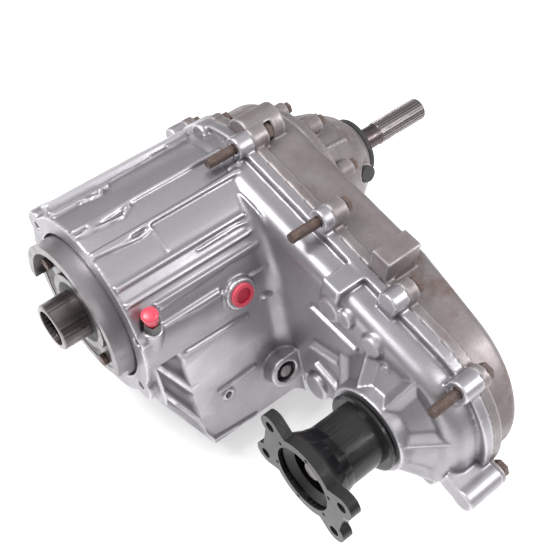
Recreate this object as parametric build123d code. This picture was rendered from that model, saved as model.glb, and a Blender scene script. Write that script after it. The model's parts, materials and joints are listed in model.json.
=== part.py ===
from build123d import *
import os
from math import acos, atan2, cos, degrees, hypot, pi, radians, sin, tan

# Transfer case, lying with both shafts level. Millimetres.
# +X runs along the main shaft from the gearbox side to the rear output, -Y points to the
# front output shaft, +Z is up. The origin is where the main axis crosses the mounting face.

# Clearances
RUN = 0.05              # radial clearance of a journal in its bearing
GAP = 0.3               # plain gap between parts that pass each other
SEAL_GAP = 0.06         # radial gap at a seal lip
SEAT = 0.02             # radial gap of a part pressed or slid into its seat
SPLINE_SLACK = 0.08     # gap all round between a splined bar and its sleeve

# Overall layout
CENTRES = 267.0         # distance between the main axis and the front output axis
JOINT_X = 195.0         # plane where the two case halves meet
CHAIN_FRONT_X = 156.0   # outer front wall of the chain chamber
REAR_WALL_X = 258.0     # outer rear face of the chain chamber at the main axis
REAR_PAD_X = 262.0      # machined face for the tail housing
SLOPE_Y = -190.0        # where the rear wall starts to slope forward
SLOPE = 0.13            # how much it slopes, x per mm towards the front output
WALL = 8.0              # cast wall thickness
LIP = 8.0               # how far the joint flange stands out
LIP_T = 11.0            # thickness of each joint flange
SHOULDER = 15.0         # radius of the round shoulder of the front chain wall
REAR_SHOULDER = 12.0    # radius of the round shoulder of the rear wall
MAIN_R = 100.0          # chain chamber radius round the main axis
FRONT_R = 85.0          # chain chamber radius round the front output axis

# Barrel round the planetary gears, and the mounting face
BARREL_R = 98.0
BARREL_BORE_R = 86.0
FRONT_WALL_T = 24.0     # depth of the front wall behind the mounting face
EAR_Y = 84.0            # half spacing of the mounting holes across
EAR_Z = 39.5            # half spacing of the mounting holes up and down
EAR_HOLE_R = 5.25
EAR_R = 17.0
EAR_SMALL_R = 9.5       # the ear hole that lies flush in the barrel
EAR_T = 22.0
LOBE_DEG = -85.0        # plain lobe under the mounting face
LOBE_R = 14.0
POCKET_R = 80.0         # recess for the input bearing retainer
POCKET_DEPTH = 8.0

# Sector housing: a wedge on the lower left of the barrel
LEAN_DEG = 22.0         # how far the sector wall leans back
WEDGE_TOP_Y = -98.0
WEDGE_TOP_Z = 5.0
WEDGE_DEPTH = 137.0     # length of the leaning wall
WEDGE_BACK = 36.0       # width of the wedge's floor
WEDGE_FRONT_X = 8.0
WEDGE_REAR_X = 172.0
NOSE_DEPTH = 56.0       # depth at which the forward slope starts
NOSE_SLOPE = 0.46       # forward slope, x per mm of depth
NOSE_WALL = 11.0        # wall behind the forward slope, measured along x
CAVITY_X = 60.0
CAVITY_REAR_X = 166.0

# Sector shaft and plate
SECTOR_X = 137.0
SECTOR_DEPTH = 89.0     # distance of the sector shaft down the leaning wall
SECTOR_BOSS_R = 18.5
SECTOR_BOSS_H = 18.0
SECTOR_RECESS_R = 12.0
SECTOR_RECESS = 7.0     # depth of the recess round the shaft's end
SECTOR_SEAL_T = 5.0
SECTOR_SHAFT_R = 7.0
SECTOR_TIP = 16.0       # how far the shaft's end stands out of the wall
SECTOR_SPLINES = 24
PLATE_IN = 28.0         # depth of the plate's outer face inside the wall
PLATE_T = 5.0
PLATE_HUB_R = 16.0
PLATE_RANGE_R = 31.0    # plate radius round the range slot
PLATE_MODE_R = 26.0     # plate radius round the mode slot
SECTOR_SWING_DEG = 50.0
CAM_STEPS = 8           # straight pieces in each cam slot
CAM_PIN_R = 3.0
CAM_SLOT_R = 3.15
RANGE_PIN = (-22.0, 14.0)    # pin beside the sector shaft: along x, and up the wall
MODE_PIN = (14.0, 16.0)

# Detent below the sector plate
DETENT_TIP_BELOW = 16.3     # distances below the sector shaft
DETENT_REAR_BELOW = 29.0
DETENT_PLUG_BELOW = 42.0
DETENT_HEAD_OUT = 11.0      # how far the plug's head stands below the floor
DETENT_R = 4.0
DETENT_BOSS_R = 9.0

# Input side
HUB_X = -43.0
HUB_R = 25.0
HUB_HOLE_R = 17.4
HUB_SPLINES = 27
HUB_PILOT_R = 19.0
HUB_PILOT_DEPTH = 5.0
SPLINE_DEPTH = 1.3
HUB_HOLE_END_X = 12.0
RETAINER_X = -19.0
RETAINER_R = 77.5
RETAINER_RIM = 9.0
RETAINER_WEB_X = -7.0
RETAINER_LOW_X = -7.5   # where the rim stops on its lower half
RETAINER_CUT_Z = -12.0  # height below which the rim is low
RETAINER_BOSS_R = 42.0  # boss round the input seal
RETAINER_BOSS_X = -12.0
RETAINER_PCD = 116.0
RETAINER_BOLTS = 5
RETAINER_FIRST_DEG = 18.0
RETAINER_BOLT_X = 20.0  # how deep the retainer bolts reach
INPUT_JOURNAL_R = 27.5
INPUT_JOURNAL_X = 5.0
INPUT_BEARING_R = 45.0
INPUT_BEARING_W = 14.0
INPUT_SEAL_R = 34.0
INPUT_SEAL_T = 9.0
INPUT_COLLAR_R = 31.0
RING_T = 1.8            # thickness of a snap ring

# Planetary set
MODULE = 2.75
SUN_TEETH = 32
PLANET_TEETH = 12
RING_TEETH = 56
PLANETS = 4
GEAR_X = 32.0
GEAR_W = 26.0
CARRIER_GAP = 1.5
CARRIER_FRONT_T = 5.0
CARRIER_REAR_T = 8.0
CARRIER_R = 78.5
CARRIER_HOLE_R = 33.0
CARRIER_POST_R = 11.0
PLANET_PIN_R = 6.0
TOOTH_SHARE = 0.455     # tooth thickness at the pitch circle as a share of the pitch
ADDENDUM = 0.85
DEDENDUM = 1.15
PRESSURE_DEG = 20.0

# Main shaft
SHAFT_END_X = 454.0
SPLINE_START_X = 385.0
SPLINE_CHAMFER = 2.0
OUTPUT_R = 13.2
OUTPUT_SPLINES = 27
NECK_R = 12.4
NECK_X = 330.0
SHAFT_R = 18.0
TAIL_SHAFT_R = 17.5
PILOT_R = 11.0
PILOT_X = 34.0
PILOT_BEARING_R = 15.0
PILOT_BEARING_W = 20.0
SLEEVE_SPLINES = 24
SLEEVE_SPLINE_R = 19.4

# Range and mode sleeves
SLEEVE_R = 40.0
GROOVE_R = 35.0
GROOVE_W = 6.0
RANGE_SLEEVE_X = 69.0
RANGE_SLEEVE_W = 24.0
RANGE_TRAVEL = 9.0
MODE_SLEEVE_X = 130.0
MODE_SLEEVE_W = 24.0
MODE_TRAVEL = 9.0
MODE_HUB_X = 134.0
MODE_HUB_W = 13.0
MODE_SPLINES = 36
MODE_SPLINE_R = 31.2
CLUTCH_X = 149.5        # front of the drive sprocket's clutch teeth

# Shift rail and forks
RAIL_Y = -72.0
RAIL_Z = -79.5
RAIL_R = 7.0
RAIL_X = 46.0
RAIL_END_X = 214.0
RAIL_BOSS_R = 10.5
RAIL_BOSS_X = 206.0
FORK_HUB_R = 12.5
FORK_HUB_W = 14.0
RANGE_HUB_X = 86.0
MODE_HUB_FORK_X = 130.0
FORK_T = 4.6
FORK_IN_R = 35.6
FORK_OUT_R = 47.0
FORK_ARM_W = 16.0
FORK_ARM_T = 7.0
FINGER_T = 5.7
FINGER_W = 14.0

# Chain drive
SPROCKET_X = 173.0
SPROCKET_W = 32.0
SPROCKET_TEETH = 36
SPROCKET_R = 57.0
SPROCKET_ROOT_R = 52.0
SPROCKET_HUB_R = 30.0
CHAIN_T = 11.0
CHAIN_GAP = 0.6
CHAIN_IN = 1.0          # how much narrower the chain is at each side

# Rear case and oil pump
REAR_BEARING_R = 40.0
REAR_BEARING_X = 241.0
REAR_BEARING_W = 17.0
REAR_BOSS_R = 49.0
REAR_BOSS_X = 237.0
PUMP_R = 46.0
PUMP_T = 14.0
PICKUP_X = 230.0
PICKUP_R = 4.0
SCREEN_R = 9.5
SCREEN_T = 6.0
SCREEN_Z = -84.0
MAGNET_R = 11.0
MAGNET_T = 5.0
MAGNET_X = 222.0
MAGNET_Y = -45.0
DRAIN = (-95.0, -52.0)
FILL = (-120.0, 5.0)
DRAIN_R = 9.0
DRAIN_BOSS_R = 14.0
DRAIN_HEAD_T = 7.0

# Tail housing
TAIL_FLANGE_R = 84.0
TAIL_FLANGE_T = 11.0
TAIL_R = 70.0
TAIL_END_X = 347.0
TAIL_NOSE_R = 33.0
TAIL_BOLTS = 8
TAIL_FIRST_DEG = 42.0
TAIL_PCD = 148.0
TAIL_LUG_R = 9.5
TAIL_LUG_X = 292.0
TAIL_BOSS_X = 240.0     # front of the bolt bosses inside the rear case
TAIL_SHAPE = [(290.0, 66.0), (303.0, 62.0), (314.0, 59.0), (334.0, 46.0), (342.0, 37.0)]
TAIL_MOUTH_R = 60.0
TAIL_CAVITY = [(296.0, 55.0), (308.0, 50.0), (326.0, 38.0)]
SEAL_RING_R = 34.0
SEAL_RING_END_X = 352.0
REAR_SEAL_R = 27.0
REAR_SEAL_IN_R = 21.0
REAR_SEAL_X = 339.0
BUSHING_X = 331.0
BUSHING_IN_R = 21.6
TONE_X = 318.0
TONE_W = 6.0
TONE_R = 30.0
TONE_TEETH = 40
SENSOR_X = 321.0
SENSOR_DEG = 155.0
SENSOR_R = 6.0
SENSOR_HEAD_R = 9.0
SENSOR_IN = 30.8
SENSOR_SEAT = 54.0
SENSOR_OUT = 59.0

# Front output
SNOUT_X = 126.0
SNOUT_R = 46.0
FRONT_SEAL_T = 8.0
FRONT_BEARING_R = 38.0
FRONT_BEARING_W = 18.0
FRONT_JOURNAL_R = 20.0
FRONT_BACK_JOURNAL_R = 15.0
FRONT_BACK_BEARING_R = 27.0
FRONT_BACK_BEARING_X = 222.0
FRONT_BACK_BEARING_W = 15.0
FRONT_BOSS_END_X = 249.0
FLANGE_X = 47.0
FLANGE_T = 11.0
FLANGE_HOLE_Y = 48.0
FLANGE_HOLE_Z = 27.0
FLANGE_HOLE_R = 5.5
FLANGE_EAR_R = 12.5
FLANGE_WEB = 5.0        # how far the plate reaches beyond the holes between two ears
FLANGE_FACE_R = 42.0
FLANGE_FLARE = [(72.0, 35.0), (82.0, 32.0)]   # from the plate down to the neck
FLANGE_SMALL_HOLES = 6
FLANGE_SMALL_HOLE_R = 2.0
FLANGE_SMALL_PCD = 75.0
NECK_OUT_R = 32.0
BOWL_R = 24.5
BOWL_MOUTH_R = 33.5
BOWL_MOUTH = 6.0        # depth of the wide mouth
BOWL_TAPER = 6.0        # length of the cone behind it
BOWL_DEPTH = 26.0
DEFLECTOR_X = 119.0
DEFLECTOR_T = 4.0
DEFLECTOR_R = 41.0
FRONT_SHAFT_R = 15.0
FRONT_SPROCKET_SEAT_R = 22.0
THREAD_R = 10.0
NUT_R = 17.0
NUT_T = 11.0
NUT_OUT = 4.0           # thread beyond the flange nut

# Vent, port and lugs
VENT_X = 17.0
VENT_Y = -85.0
VENT_SEAT_Z = 50.0
VENT_BOSS_R = 10.0
VENT_SPOT_R = 10.6      # spot face round the vent
VENT_R = 5.0
VENT_SHANK = 4.5        # length of the vent's thread, which stays clear of the ear hole
VENT_BORE_R = 2.0
VENT_HEX_R = 8.5
VENT_HEX_T = 12.0
VENT_STEM_R = 6.0
VENT_STEM_T = 9.0
CAP_R = 8.8
CAP_H = 16.0
PORT_X = 112.0
PORT_DEG = 160.0
PORT_BOSS_R = 17.0
PORT_SEAT_R = 104.0     # distance of the port's face from the main axis
PORT_R = 10.0
PORT_PLUG_R = 12.5
PORT_PLUG_T = 3.0
FRONT_LUG = (152.0, 190.0, -181.0, -159.0, 64.0, 98.0)
REAR_LUG = (195.0, 236.0, -196.0, -174.0, 78.0, 122.0)
TOP_BOSS = (195.0, 238.0, 19.0, 14.0, 104.0)

# Fasteners
BOLT_R = 5.0
BOLT_HOLE_R = 5.2
BOLT_HEAD_R = 9.0
BOLT_HEAD_T = 7.0
BOSS_R = 12.0
WEB_LENGTH = 26.0       # web that ties a joint boss to the chamber wall
SMALL_BOLT_R = 4.0
SMALL_HOLE_R = 4.15
SMALL_HEAD_R = 7.0
SMALL_HEAD_T = 5.5
SCREW_IN = 3.0          # spare depth behind a bolt's tip
DOWEL_R = 4.0
DOWEL_IN = 8.0

# Joint bolts: y, z, front of the boss, rear of the boss, thread that stands out in front
JOINT_BOLTS = [
    (2.0, MAIN_R + 9.0, 177.0, 214.0, 32.0), (-115.0, MAIN_R + 12.0, 183.0, 212.0, 33.0),
    (51.0 - CENTRES, FRONT_R + 16.0, 177.0, 208.0, 0.0), (-46.0 - CENTRES, FRONT_R + 1.0, 172.0, 203.0, 31.0),
    (-102.0 - CENTRES, -12.0, 151.0, 199.0, 0.0), (-50.0 - CENTRES, -FRONT_R, 177.0, 208.0, 0.0),
    (35.0 - CENTRES, -FRONT_R - 14.0, 177.0, 208.0, 0.0), (-168.0, -MAIN_R - 7.0, 177.0, 208.0, 0.0),
    (-78.0, -MAIN_R - 19.0, 177.0, 208.0, 0.0), (26.0, -MAIN_R - 6.0, 177.0, 208.0, 0.0),
    (MAIN_R - 2.0, -51.0, 177.0, 208.0, 0.0), (MAIN_R + 4.0, 34.0, 177.0, 208.0, 0.0),
    (0.56 * MAIN_R, 0.81 * MAIN_R, 177.0, 208.0, 0.0),
]
DOWELS = [(0.8 * MAIN_R, 0.6 * MAIN_R), (-0.8 * FRONT_R - CENTRES, 53.0)]

# Ribs on the barrel: angle, start, end, height, width
BARREL_RIBS = [
    (44.0, 6.0, 172.0, 9.0, 16.0), (57.0, 4.0, 66.0, 4.0, 7.0), (81.0, 2.0, 172.0, 4.0, 4.0),
    (99.0, 1.0, 172.0, 4.0, 4.0), (121.0, 3.0, 148.0, 3.0, 4.0), (131.0, 3.0, 148.0, 3.0, 4.0),
    (139.0, 28.0, 150.0, 3.0, 4.0), (152.0, 28.0, 92.0, 3.0, 4.0), (20.0, 6.0, 172.0, 5.0, 8.0),
    (-6.0, 6.0, 172.0, 5.0, 8.0), (-32.0, 6.0, 172.0, 5.0, 8.0), (-58.0, 6.0, 172.0, 5.0, 8.0),
    (-84.0, 6.0, 150.0, 5.0, 8.0),
]

# Gussets on the snout: angle round the front output axis
SNOUT_GUSSETS = [150.0, 100.0, 55.0, 10.0, -30.0, -75.0, -150.0]

DETENT_TIP = SECTOR_DEPTH + DETENT_TIP_BELOW
DETENT_REAR = SECTOR_DEPTH + DETENT_REAR_BELOW
DETENT_PLUG = SECTOR_DEPTH + DETENT_PLUG_BELOW
DETENT_HEAD = WEDGE_DEPTH + DETENT_HEAD_OUT
SECTOR_AXIS = (0.0, -cos(radians(LEAN_DEG)), sin(radians(LEAN_DEG)))
SECTOR_DOWN = (0.0, -sin(radians(LEAN_DEG)), -cos(radians(LEAN_DEG)))
SECTOR_SEAL_X = SECTOR_BOSS_H - SECTOR_RECESS - SECTOR_SEAL_T
SPROCKET_END_X = SPROCKET_X + SPROCKET_W
GEAR_END_X = GEAR_X + GEAR_W
PLANET_CENTRE_R = MODULE * (SUN_TEETH + PLANET_TEETH) / 2
CARRIER_REAR_X = GEAR_END_X + CARRIER_GAP
FRONT_BEARING_X = SNOUT_X + FRONT_SEAL_T
FRONT_BEARING_END_X = FRONT_BEARING_X + FRONT_BEARING_W
REAR_BEARING_END_X = REAR_BEARING_X + REAR_BEARING_W
TAIL_BOLT_TIP_X = TAIL_BOSS_X + SCREW_IN
BOWL_FLOOR_X = FLANGE_X + BOWL_DEPTH
NUT_X = BOWL_FLOOR_X - NUT_T


# Basic shapes along X

def rod(radius, x0, x1, y=0.0, z=0.0):
    """A round bar parallel to X."""
    return Pos((x0 + x1) / 2, y, z) * Cylinder(radius, x1 - x0, rotation=(0, 90, 0))


def tube(outer, inner, x0, x1, y=0.0, z=0.0):
    """A round tube parallel to X."""
    return rod(outer, x0, x1, y, z) - rod(inner, x0 - 1, x1 + 1, y, z)


def cone(r0, r1, x0, x1, y=0.0, z=0.0):
    """A cone parallel to X with radius r0 at x0 and r1 at x1."""
    return Pos((x0 + x1) / 2, y, z) * Cone(r0, r1, x1 - x0, rotation=(0, 90, 0))


def block(x0, x1, y0, y1, z0, z1):
    """A box between two corners."""
    return Pos((x0 + x1) / 2, (y0 + y1) / 2, (z0 + z1) / 2) * Box(x1 - x0, y1 - y0, z1 - z0)


def turned(points, y=0.0, z=0.0):
    """A body of revolution about X from points (x, radius)."""
    return Pos(0, y, z) * revolve(make_face(Polyline(*points, close=True)), Axis.X)


def slab(face, x0, x1):
    """A face drawn in (y, z), made solid from x0 to x1."""
    return extrude(Plane.YZ.offset(x0) * face, amount=x1 - x0)


def outline(r_main, r_front):
    """The face of a loop round both shaft axes."""
    lean = acos((r_main - r_front) / CENTRES)
    c, s = cos(lean), sin(lean)
    far = -CENTRES - r_front * c
    middle = Polygon(
        (-r_main * c, r_main * s), (far, r_front * s), (far, -r_front * s), (-r_main * c, -r_main * s),
        align=None,
    )
    return Circle(r_main) + Pos(-CENTRES, 0) * Circle(r_front) + middle


def polar(radius, angle):
    """A point (y, z) at an angle about the main axis."""
    return radius * cos(radians(angle)), radius * sin(radians(angle))


def around(count, first=0.0):
    """Evenly spaced angles in degrees."""
    return [first + i * 360.0 / count for i in range(count)]


def parts_of(*shapes):
    """One node made of separate solids."""
    return Compound([solid for shape in shapes for solid in shape.solids()])


def joined(shape, *others):
    """Add shapes to the first one."""
    for other in others:
        shape = shape + other
    return shape


def cut(shape, *others):
    """Take shapes away from the first one."""
    for other in others:
        shape = shape - other
    return shape


def involute(angle):
    return tan(angle) - angle


def gear_outline(teeth, add, ded, share):
    """The face of a spur gear with involute flanks and a gap centred on +y."""
    pitch_r = MODULE * teeth / 2
    base_r = pitch_r * cos(radians(PRESSURE_DEG))
    half = share * pi / teeth
    radii = [pitch_r - ded * MODULE, pitch_r - 0.5 * ded * MODULE, pitch_r, pitch_r + add * MODULE]

    def half_angle(radius):
        turn = acos(min(1.0, base_r / max(radius, base_r)))
        return half + involute(radians(PRESSURE_DEG)) - involute(turn)

    points = []
    for i in range(teeth):
        middle = (i + 0.5) * 2 * pi / teeth
        for side, order in ((-1, radii), (1, radii[::-1])):
            for radius in order:
                angle = middle + side * half_angle(radius)
                points.append((radius * cos(angle), radius * sin(angle)))
    return Polygon(*points, align=None)


def spline_outline(teeth, outer, depth=SPLINE_DEPTH, slack=0.0):
    """The face of a splined bar with straight-sided teeth, grown all round by the slack."""
    root, tip = outer - depth + slack, outer + slack
    wide = slack / (2 * pi * outer / teeth)
    points = []
    step = 2 * pi / teeth
    for i in range(teeth):
        for share, radius in ((-0.36 - wide, root), (-0.20 - wide, tip), (0.20 + wide, tip), (0.36 + wide, root)):
            angle = (i + share) * step
            points.append((radius * cos(angle), radius * sin(angle)))
    return Polygon(*points, align=None)


def hexagon(radius, x0, x1, y=0.0, z=0.0):
    """A hexagon bar parallel to X with its corners at the radius."""
    return slab(Pos(y, z) * RegularPolygon(radius, 6), x0, x1)


def bolt(x_head, x_tip, y, z, radius=BOLT_R, head_r=BOLT_HEAD_R, head_t=BOLT_HEAD_T):
    """A hexagon bolt that sits on x_head with its tip at x_tip."""
    shank = rod(radius, min(x_head, x_tip), max(x_head, x_tip), y, z)
    away = head_t if x_head > x_tip else -head_t
    return shank + hexagon(head_r, min(x_head, x_head + away), max(x_head, x_head + away), y, z)


def bearing(outer, inner, x0, x1, y=0.0, z=0.0):
    """A ball bearing: two races and the balls between them."""
    race = (outer - inner) * 0.27
    ball_r = min((outer - inner - 2 * race) / 2, (x1 - x0) / 2) - RUN
    middle = (outer + inner) / 2
    count = int(2 * pi * middle / (2.6 * ball_r))
    balls = [
        Pos((x0 + x1) / 2, y + middle * cos(radians(a)), z + middle * sin(radians(a))) * Sphere(ball_r)
        for a in around(count)
    ]
    races = [tube(outer - SEAT, outer - race, x0, x1, y, z), tube(inner + race, inner + RUN, x0, x1, y, z)]
    return parts_of(*races, *balls)


def snap_ring(outer, inner, x0, y=0.0, z=0.0):
    """An open ring with a slit at the top."""
    ring = tube(outer, inner, x0, x0 + RING_T, y, z)
    return ring - block(x0 - 1, x0 + RING_T + 1, y - 3, y + 3, z, z + outer + 1)


# The leaning wall of the sector housing

def wall_point(depth, out=0.0):
    """A point (y, z) on the leaning wall, with a distance outwards from it."""
    y = WEDGE_TOP_Y + depth * SECTOR_DOWN[1] + out * SECTOR_AXIS[1]
    z = WEDGE_TOP_Z + depth * SECTOR_DOWN[2] + out * SECTOR_AXIS[2]
    return y, z


def wall_plane(x, depth, out):
    """A plane parallel to the leaning wall: x along X, y up the wall, z pointing out."""
    y, z = wall_point(depth, out)
    return Plane(origin=(x, y, z), x_dir=(1, 0, 0), z_dir=SECTOR_AXIS)


def on_wall(face, x, depth, out0, out1):
    """A face drawn on the leaning wall, made solid between two distances from it."""
    return extrude(wall_plane(x, depth, out0) * face, amount=out1 - out0)


def down_wall(radius, x, out, depth0, depth1, inner=0.0):
    """A round bar or tube that runs down the leaning wall."""
    y, z = wall_point(depth0, out)
    plane = Plane(origin=(x, y, z), x_dir=(1, 0, 0), z_dir=SECTOR_DOWN)
    bar = extrude(plane * Circle(radius), amount=depth1 - depth0)
    if inner:
        bar -= extrude(plane * Circle(inner), amount=depth1 - depth0)
    return bar


def wedge(inset, x0, x1):
    """The wedge, or its cavity when inset is the wall thickness."""
    top = wall_point(0.0, -inset)
    low = wall_point(WEDGE_DEPTH - inset, -inset)
    floor = (low[0] + WEDGE_BACK, low[1])
    back = polar(BARREL_R - inset - WALL, -112.0)
    return slab(Polygon(top, low, floor, back, (0.0, 0.0), align=None), x0, x1)


def wedge_nose(behind=0.0):
    """What the forward slope takes off the front of the wedge."""
    reach = 3 * WEDGE_DEPTH
    profile = Polygon((-WEDGE_DEPTH, 0), (-WEDGE_DEPTH, -reach), (reach * NOSE_SLOPE, -reach), (0, 0), align=None)
    start = wall_plane(WEDGE_FRONT_X + behind, NOSE_DEPTH, WEDGE_DEPTH)
    return extrude(start * profile, amount=-4 * WEDGE_DEPTH)


# Front case

def rib_on_barrel(angle, x0, x1, height, width):
    y, z = polar(BARREL_R + height / 2 - 2, angle)
    rib = Box(x1 - x0, width, height + 4, rotation=(angle - 90, 0, 0))
    return Pos((x0 + x1) / 2, y, z) * rib


def web_to_case(x0, x1, y, z):
    """Metal that ties a joint boss to the chamber wall."""
    middle_y = max(-CENTRES, min(0.0, y))
    reach = hypot(y - middle_y, z)
    share = 1 - WEB_LENGTH / reach
    in_y = middle_y + (y - middle_y) * share
    in_z = z * share
    turn = degrees(atan2(z - in_z, y - in_y))
    web = Box(x1 - x0, WEB_LENGTH, 2 * BOSS_R - 4, rotation=(turn, 0, 0))
    return Pos((x0 + x1) / 2, (y + in_y) / 2, (z + in_z) / 2) * web


def joint_bosses(front):
    """The bosses of the joint bolts on one case half."""
    bosses = []
    for y, z, x_front, x_rear, _ in JOINT_BOLTS:
        x0, x1 = (x_front, JOINT_X) if front else (JOINT_X, x_rear)
        bosses.append(rod(BOSS_R, x0, x1, y, z) + web_to_case(x0, x1, y, z))
    return bosses


def snout_shape():
    """The nose round the front output shaft, with its gussets."""
    foot_x = CHAIN_FRONT_X + 4
    nose = rod(SNOUT_R, SNOUT_X, foot_x, -CENTRES)
    foot = cone(SNOUT_R + 2, SNOUT_R + 22, CHAIN_FRONT_X - 14, foot_x, -CENTRES)
    face = Polygon((SNOUT_X + 4, SNOUT_R - 3), (foot_x, SNOUT_R - 3), (foot_x, FRONT_R - 6), align=None)
    gusset = extrude(Plane.XY * face, amount=2.5, both=True)
    gussets = [Pos(0, -CENTRES, 0) * Rot(angle, 0, 0) * gusset for angle in SNOUT_GUSSETS]
    return joined(nose, foot, *gussets)


def sector_boss():
    """Boss round the sector shaft with a ridge that runs back to the joint."""
    length = JOINT_X - LIP_T - SECTOR_X
    ridge = Pos(length / 2, 0) * Rectangle(length, 2 * SECTOR_BOSS_R)
    boss = Circle(SECTOR_BOSS_R) + ridge
    return on_wall(boss, SECTOR_X, SECTOR_DEPTH, -WALL, SECTOR_BOSS_H)


def detent_boss():
    out = -PLATE_IN - PLATE_T / 2
    return down_wall(DETENT_BOSS_R, SECTOR_X, out, DETENT_REAR - 5, DETENT_HEAD)


def mounting_ears():
    """Ears of the mounting face and the plain lobe under it."""
    ears = [rod(EAR_R, 0, EAR_T, y, z) for y, z in ((EAR_Y, EAR_Z), (EAR_Y, -EAR_Z), (-EAR_Y, -EAR_Z))]
    small = rod(EAR_SMALL_R, 0, EAR_T, -EAR_Y, EAR_Z)
    lobe = rod(LOBE_R, 0, EAR_T, *polar(BARREL_R - 4, LOBE_DEG))
    return [*ears, small, lobe]


def radial_bar(radius, x, angle, r0, r1):
    """A round bar that points away from the main axis."""
    direction = (0, cos(radians(angle)), sin(radians(angle)))
    plane = Plane(origin=(x, *polar(r0, angle)), x_dir=(1, 0, 0), z_dir=direction)
    return extrude(plane * Circle(radius), amount=r1 - r0)


def port_bosses():
    """Bosses for the vent and the plugged switch port."""
    vent = Pos(VENT_X, VENT_Y, VENT_SEAT_Z - 15) * Cylinder(VENT_BOSS_R, 30)
    return [vent, radial_bar(PORT_BOSS_R, PORT_X, PORT_DEG, BARREL_BORE_R - 2, PORT_SEAT_R)]


def front_case_body():
    shell = rod(BARREL_R, 0, CHAIN_FRONT_X + 5)
    chamber = slab(outline(MAIN_R, FRONT_R), CHAIN_FRONT_X, JOINT_X)
    rim = chamber.faces().sort_by(Axis.X)[0].edges()
    chamber = fillet(rim, SHOULDER)
    flange = slab(outline(MAIN_R + LIP, FRONT_R + LIP), JOINT_X - LIP_T, JOINT_X)
    housing = wedge(0.0, WEDGE_FRONT_X, WEDGE_REAR_X) - wedge_nose()
    ribs = [rib_on_barrel(*rib) for rib in BARREL_RIBS]
    lugs = [block(*FRONT_LUG)]
    return joined(
        shell, chamber, flange, housing, *mounting_ears(), *ribs, *joint_bosses(True), snout_shape(),
        sector_boss(), detent_boss(), *port_bosses(), *lugs,
    )


def front_case():
    body = front_case_body()
    body = cut(
        body,
        rod(POCKET_R, -1, POCKET_DEPTH),
        rod(INPUT_BEARING_R, 0, POCKET_DEPTH + INPUT_BEARING_W),
        rod(INPUT_BEARING_R - 5, 0, FRONT_WALL_T + 1),
        rod(BARREL_BORE_R, FRONT_WALL_T, JOINT_X + 1),
        slab(outline(MAIN_R - WALL, FRONT_R - WALL), CHAIN_FRONT_X + WALL, JOINT_X + 1),
        wedge(WALL, CAVITY_X, CAVITY_REAR_X) - wedge_nose(NOSE_WALL),
    )
    body += detent_boss_inside()
    return Compound(cut_small_holes(body).solids())


def detent_boss_inside():
    """The stretch of the detent boss that crosses the cavity."""
    out = -PLATE_IN - PLATE_T / 2
    return down_wall(DETENT_BOSS_R, SECTOR_X, out, DETENT_REAR - 5, WEDGE_DEPTH - 2)


def cut_small_holes(body):
    """Bearing bores and bolt holes of the front half."""
    holes = [
        rod(FRONT_BEARING_R, SNOUT_X - 1, FRONT_BEARING_END_X, -CENTRES),
        rod(FRONT_BEARING_R - 6, SNOUT_X, JOINT_X, -CENTRES),
        rod(RAIL_R + SEAT, RAIL_X, CAVITY_X + 15, RAIL_Y, RAIL_Z),
        on_wall(Circle(SECTOR_SHAFT_R + RUN), SECTOR_X, SECTOR_DEPTH, -WALL - 2, SECTOR_BOSS_H + 1),
        on_wall(Circle(SECTOR_RECESS_R), SECTOR_X, SECTOR_DEPTH, SECTOR_SEAL_X, SECTOR_BOSS_H + 1),
        down_wall(DETENT_R + RUN, SECTOR_X, -PLATE_IN - PLATE_T / 2, DETENT_TIP, DETENT_HEAD + 1),
        Pos(VENT_X, VENT_Y, VENT_SEAT_Z - VENT_SHANK / 2) * Cylinder(VENT_R + SEAT, VENT_SHANK + 1),
        Pos(VENT_X, VENT_Y, VENT_SEAT_Z + 20) * Cylinder(VENT_SPOT_R, 40),
        radial_bar(PORT_R, PORT_X, PORT_DEG, BARREL_BORE_R - 4, PORT_SEAT_R + 1),
    ]
    for y, z in ((EAR_Y, EAR_Z), (EAR_Y, -EAR_Z), (-EAR_Y, -EAR_Z), (-EAR_Y, EAR_Z)):
        holes.append(rod(EAR_HOLE_R, -1, EAR_T, y, z))
    for angle in around(RETAINER_BOLTS, RETAINER_FIRST_DEG):
        y, z = polar(RETAINER_PCD / 2, angle)
        holes.append(rod(SMALL_HOLE_R, 0, RETAINER_BOLT_X + 1, y, z))
    for y, z, x_front, _, out in JOINT_BOLTS:
        start = x_front - 1 if out else x_front + SCREW_IN
        holes.append(rod(BOLT_HOLE_R, start, JOINT_X + 1, y, z))
        if out:
            holes.append(rod(BOSS_R - 1, x_front - out - 2, x_front, y, z))
    for y, z in DOWELS:
        holes.append(rod(DOWEL_R + SEAT, JOINT_X - DOWEL_IN, JOINT_X + 1, y, z))
    return cut(body, *holes)


# Rear case

def behind_slope(shift):
    """Everything behind the sloped rear wall, moved along x."""
    x0, far = REAR_WALL_X + shift, -CENTRES - 2 * FRONT_R
    face = Polygon(
        (x0, SLOPE_Y), (x0 - SLOPE * (SLOPE_Y - far), far), (x0 + 100, far), (x0 + 100, SLOPE_Y), align=None
    )
    return extrude(Plane.XY.offset(-2 * MAIN_R) * face, amount=4 * MAIN_R)


def slope_x(y):
    """Where the rear wall's outer face lies at y."""
    return REAR_WALL_X - SLOPE * max(0.0, SLOPE_Y - y)


def rear_shell():
    """The rear half's outer shape with its round shoulder."""
    chamber = slab(outline(MAIN_R, FRONT_R), JOINT_X, REAR_WALL_X) - behind_slope(0.0)
    rear_faces = chamber.faces().filter_by(lambda face: face.normal_at().X > 0.9)
    rims = [edge for face in rear_faces for edge in face.edges()]
    rims = [edge for edge in rims if not is_crease(edge)]
    return fillet(rims, REAR_SHOULDER)


def is_crease(edge):
    """Whether an edge is the straight one where the slope starts."""
    centre = edge.center()
    return abs(centre.Y - SLOPE_Y) < 1 and abs(centre.Z) < 1


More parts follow.
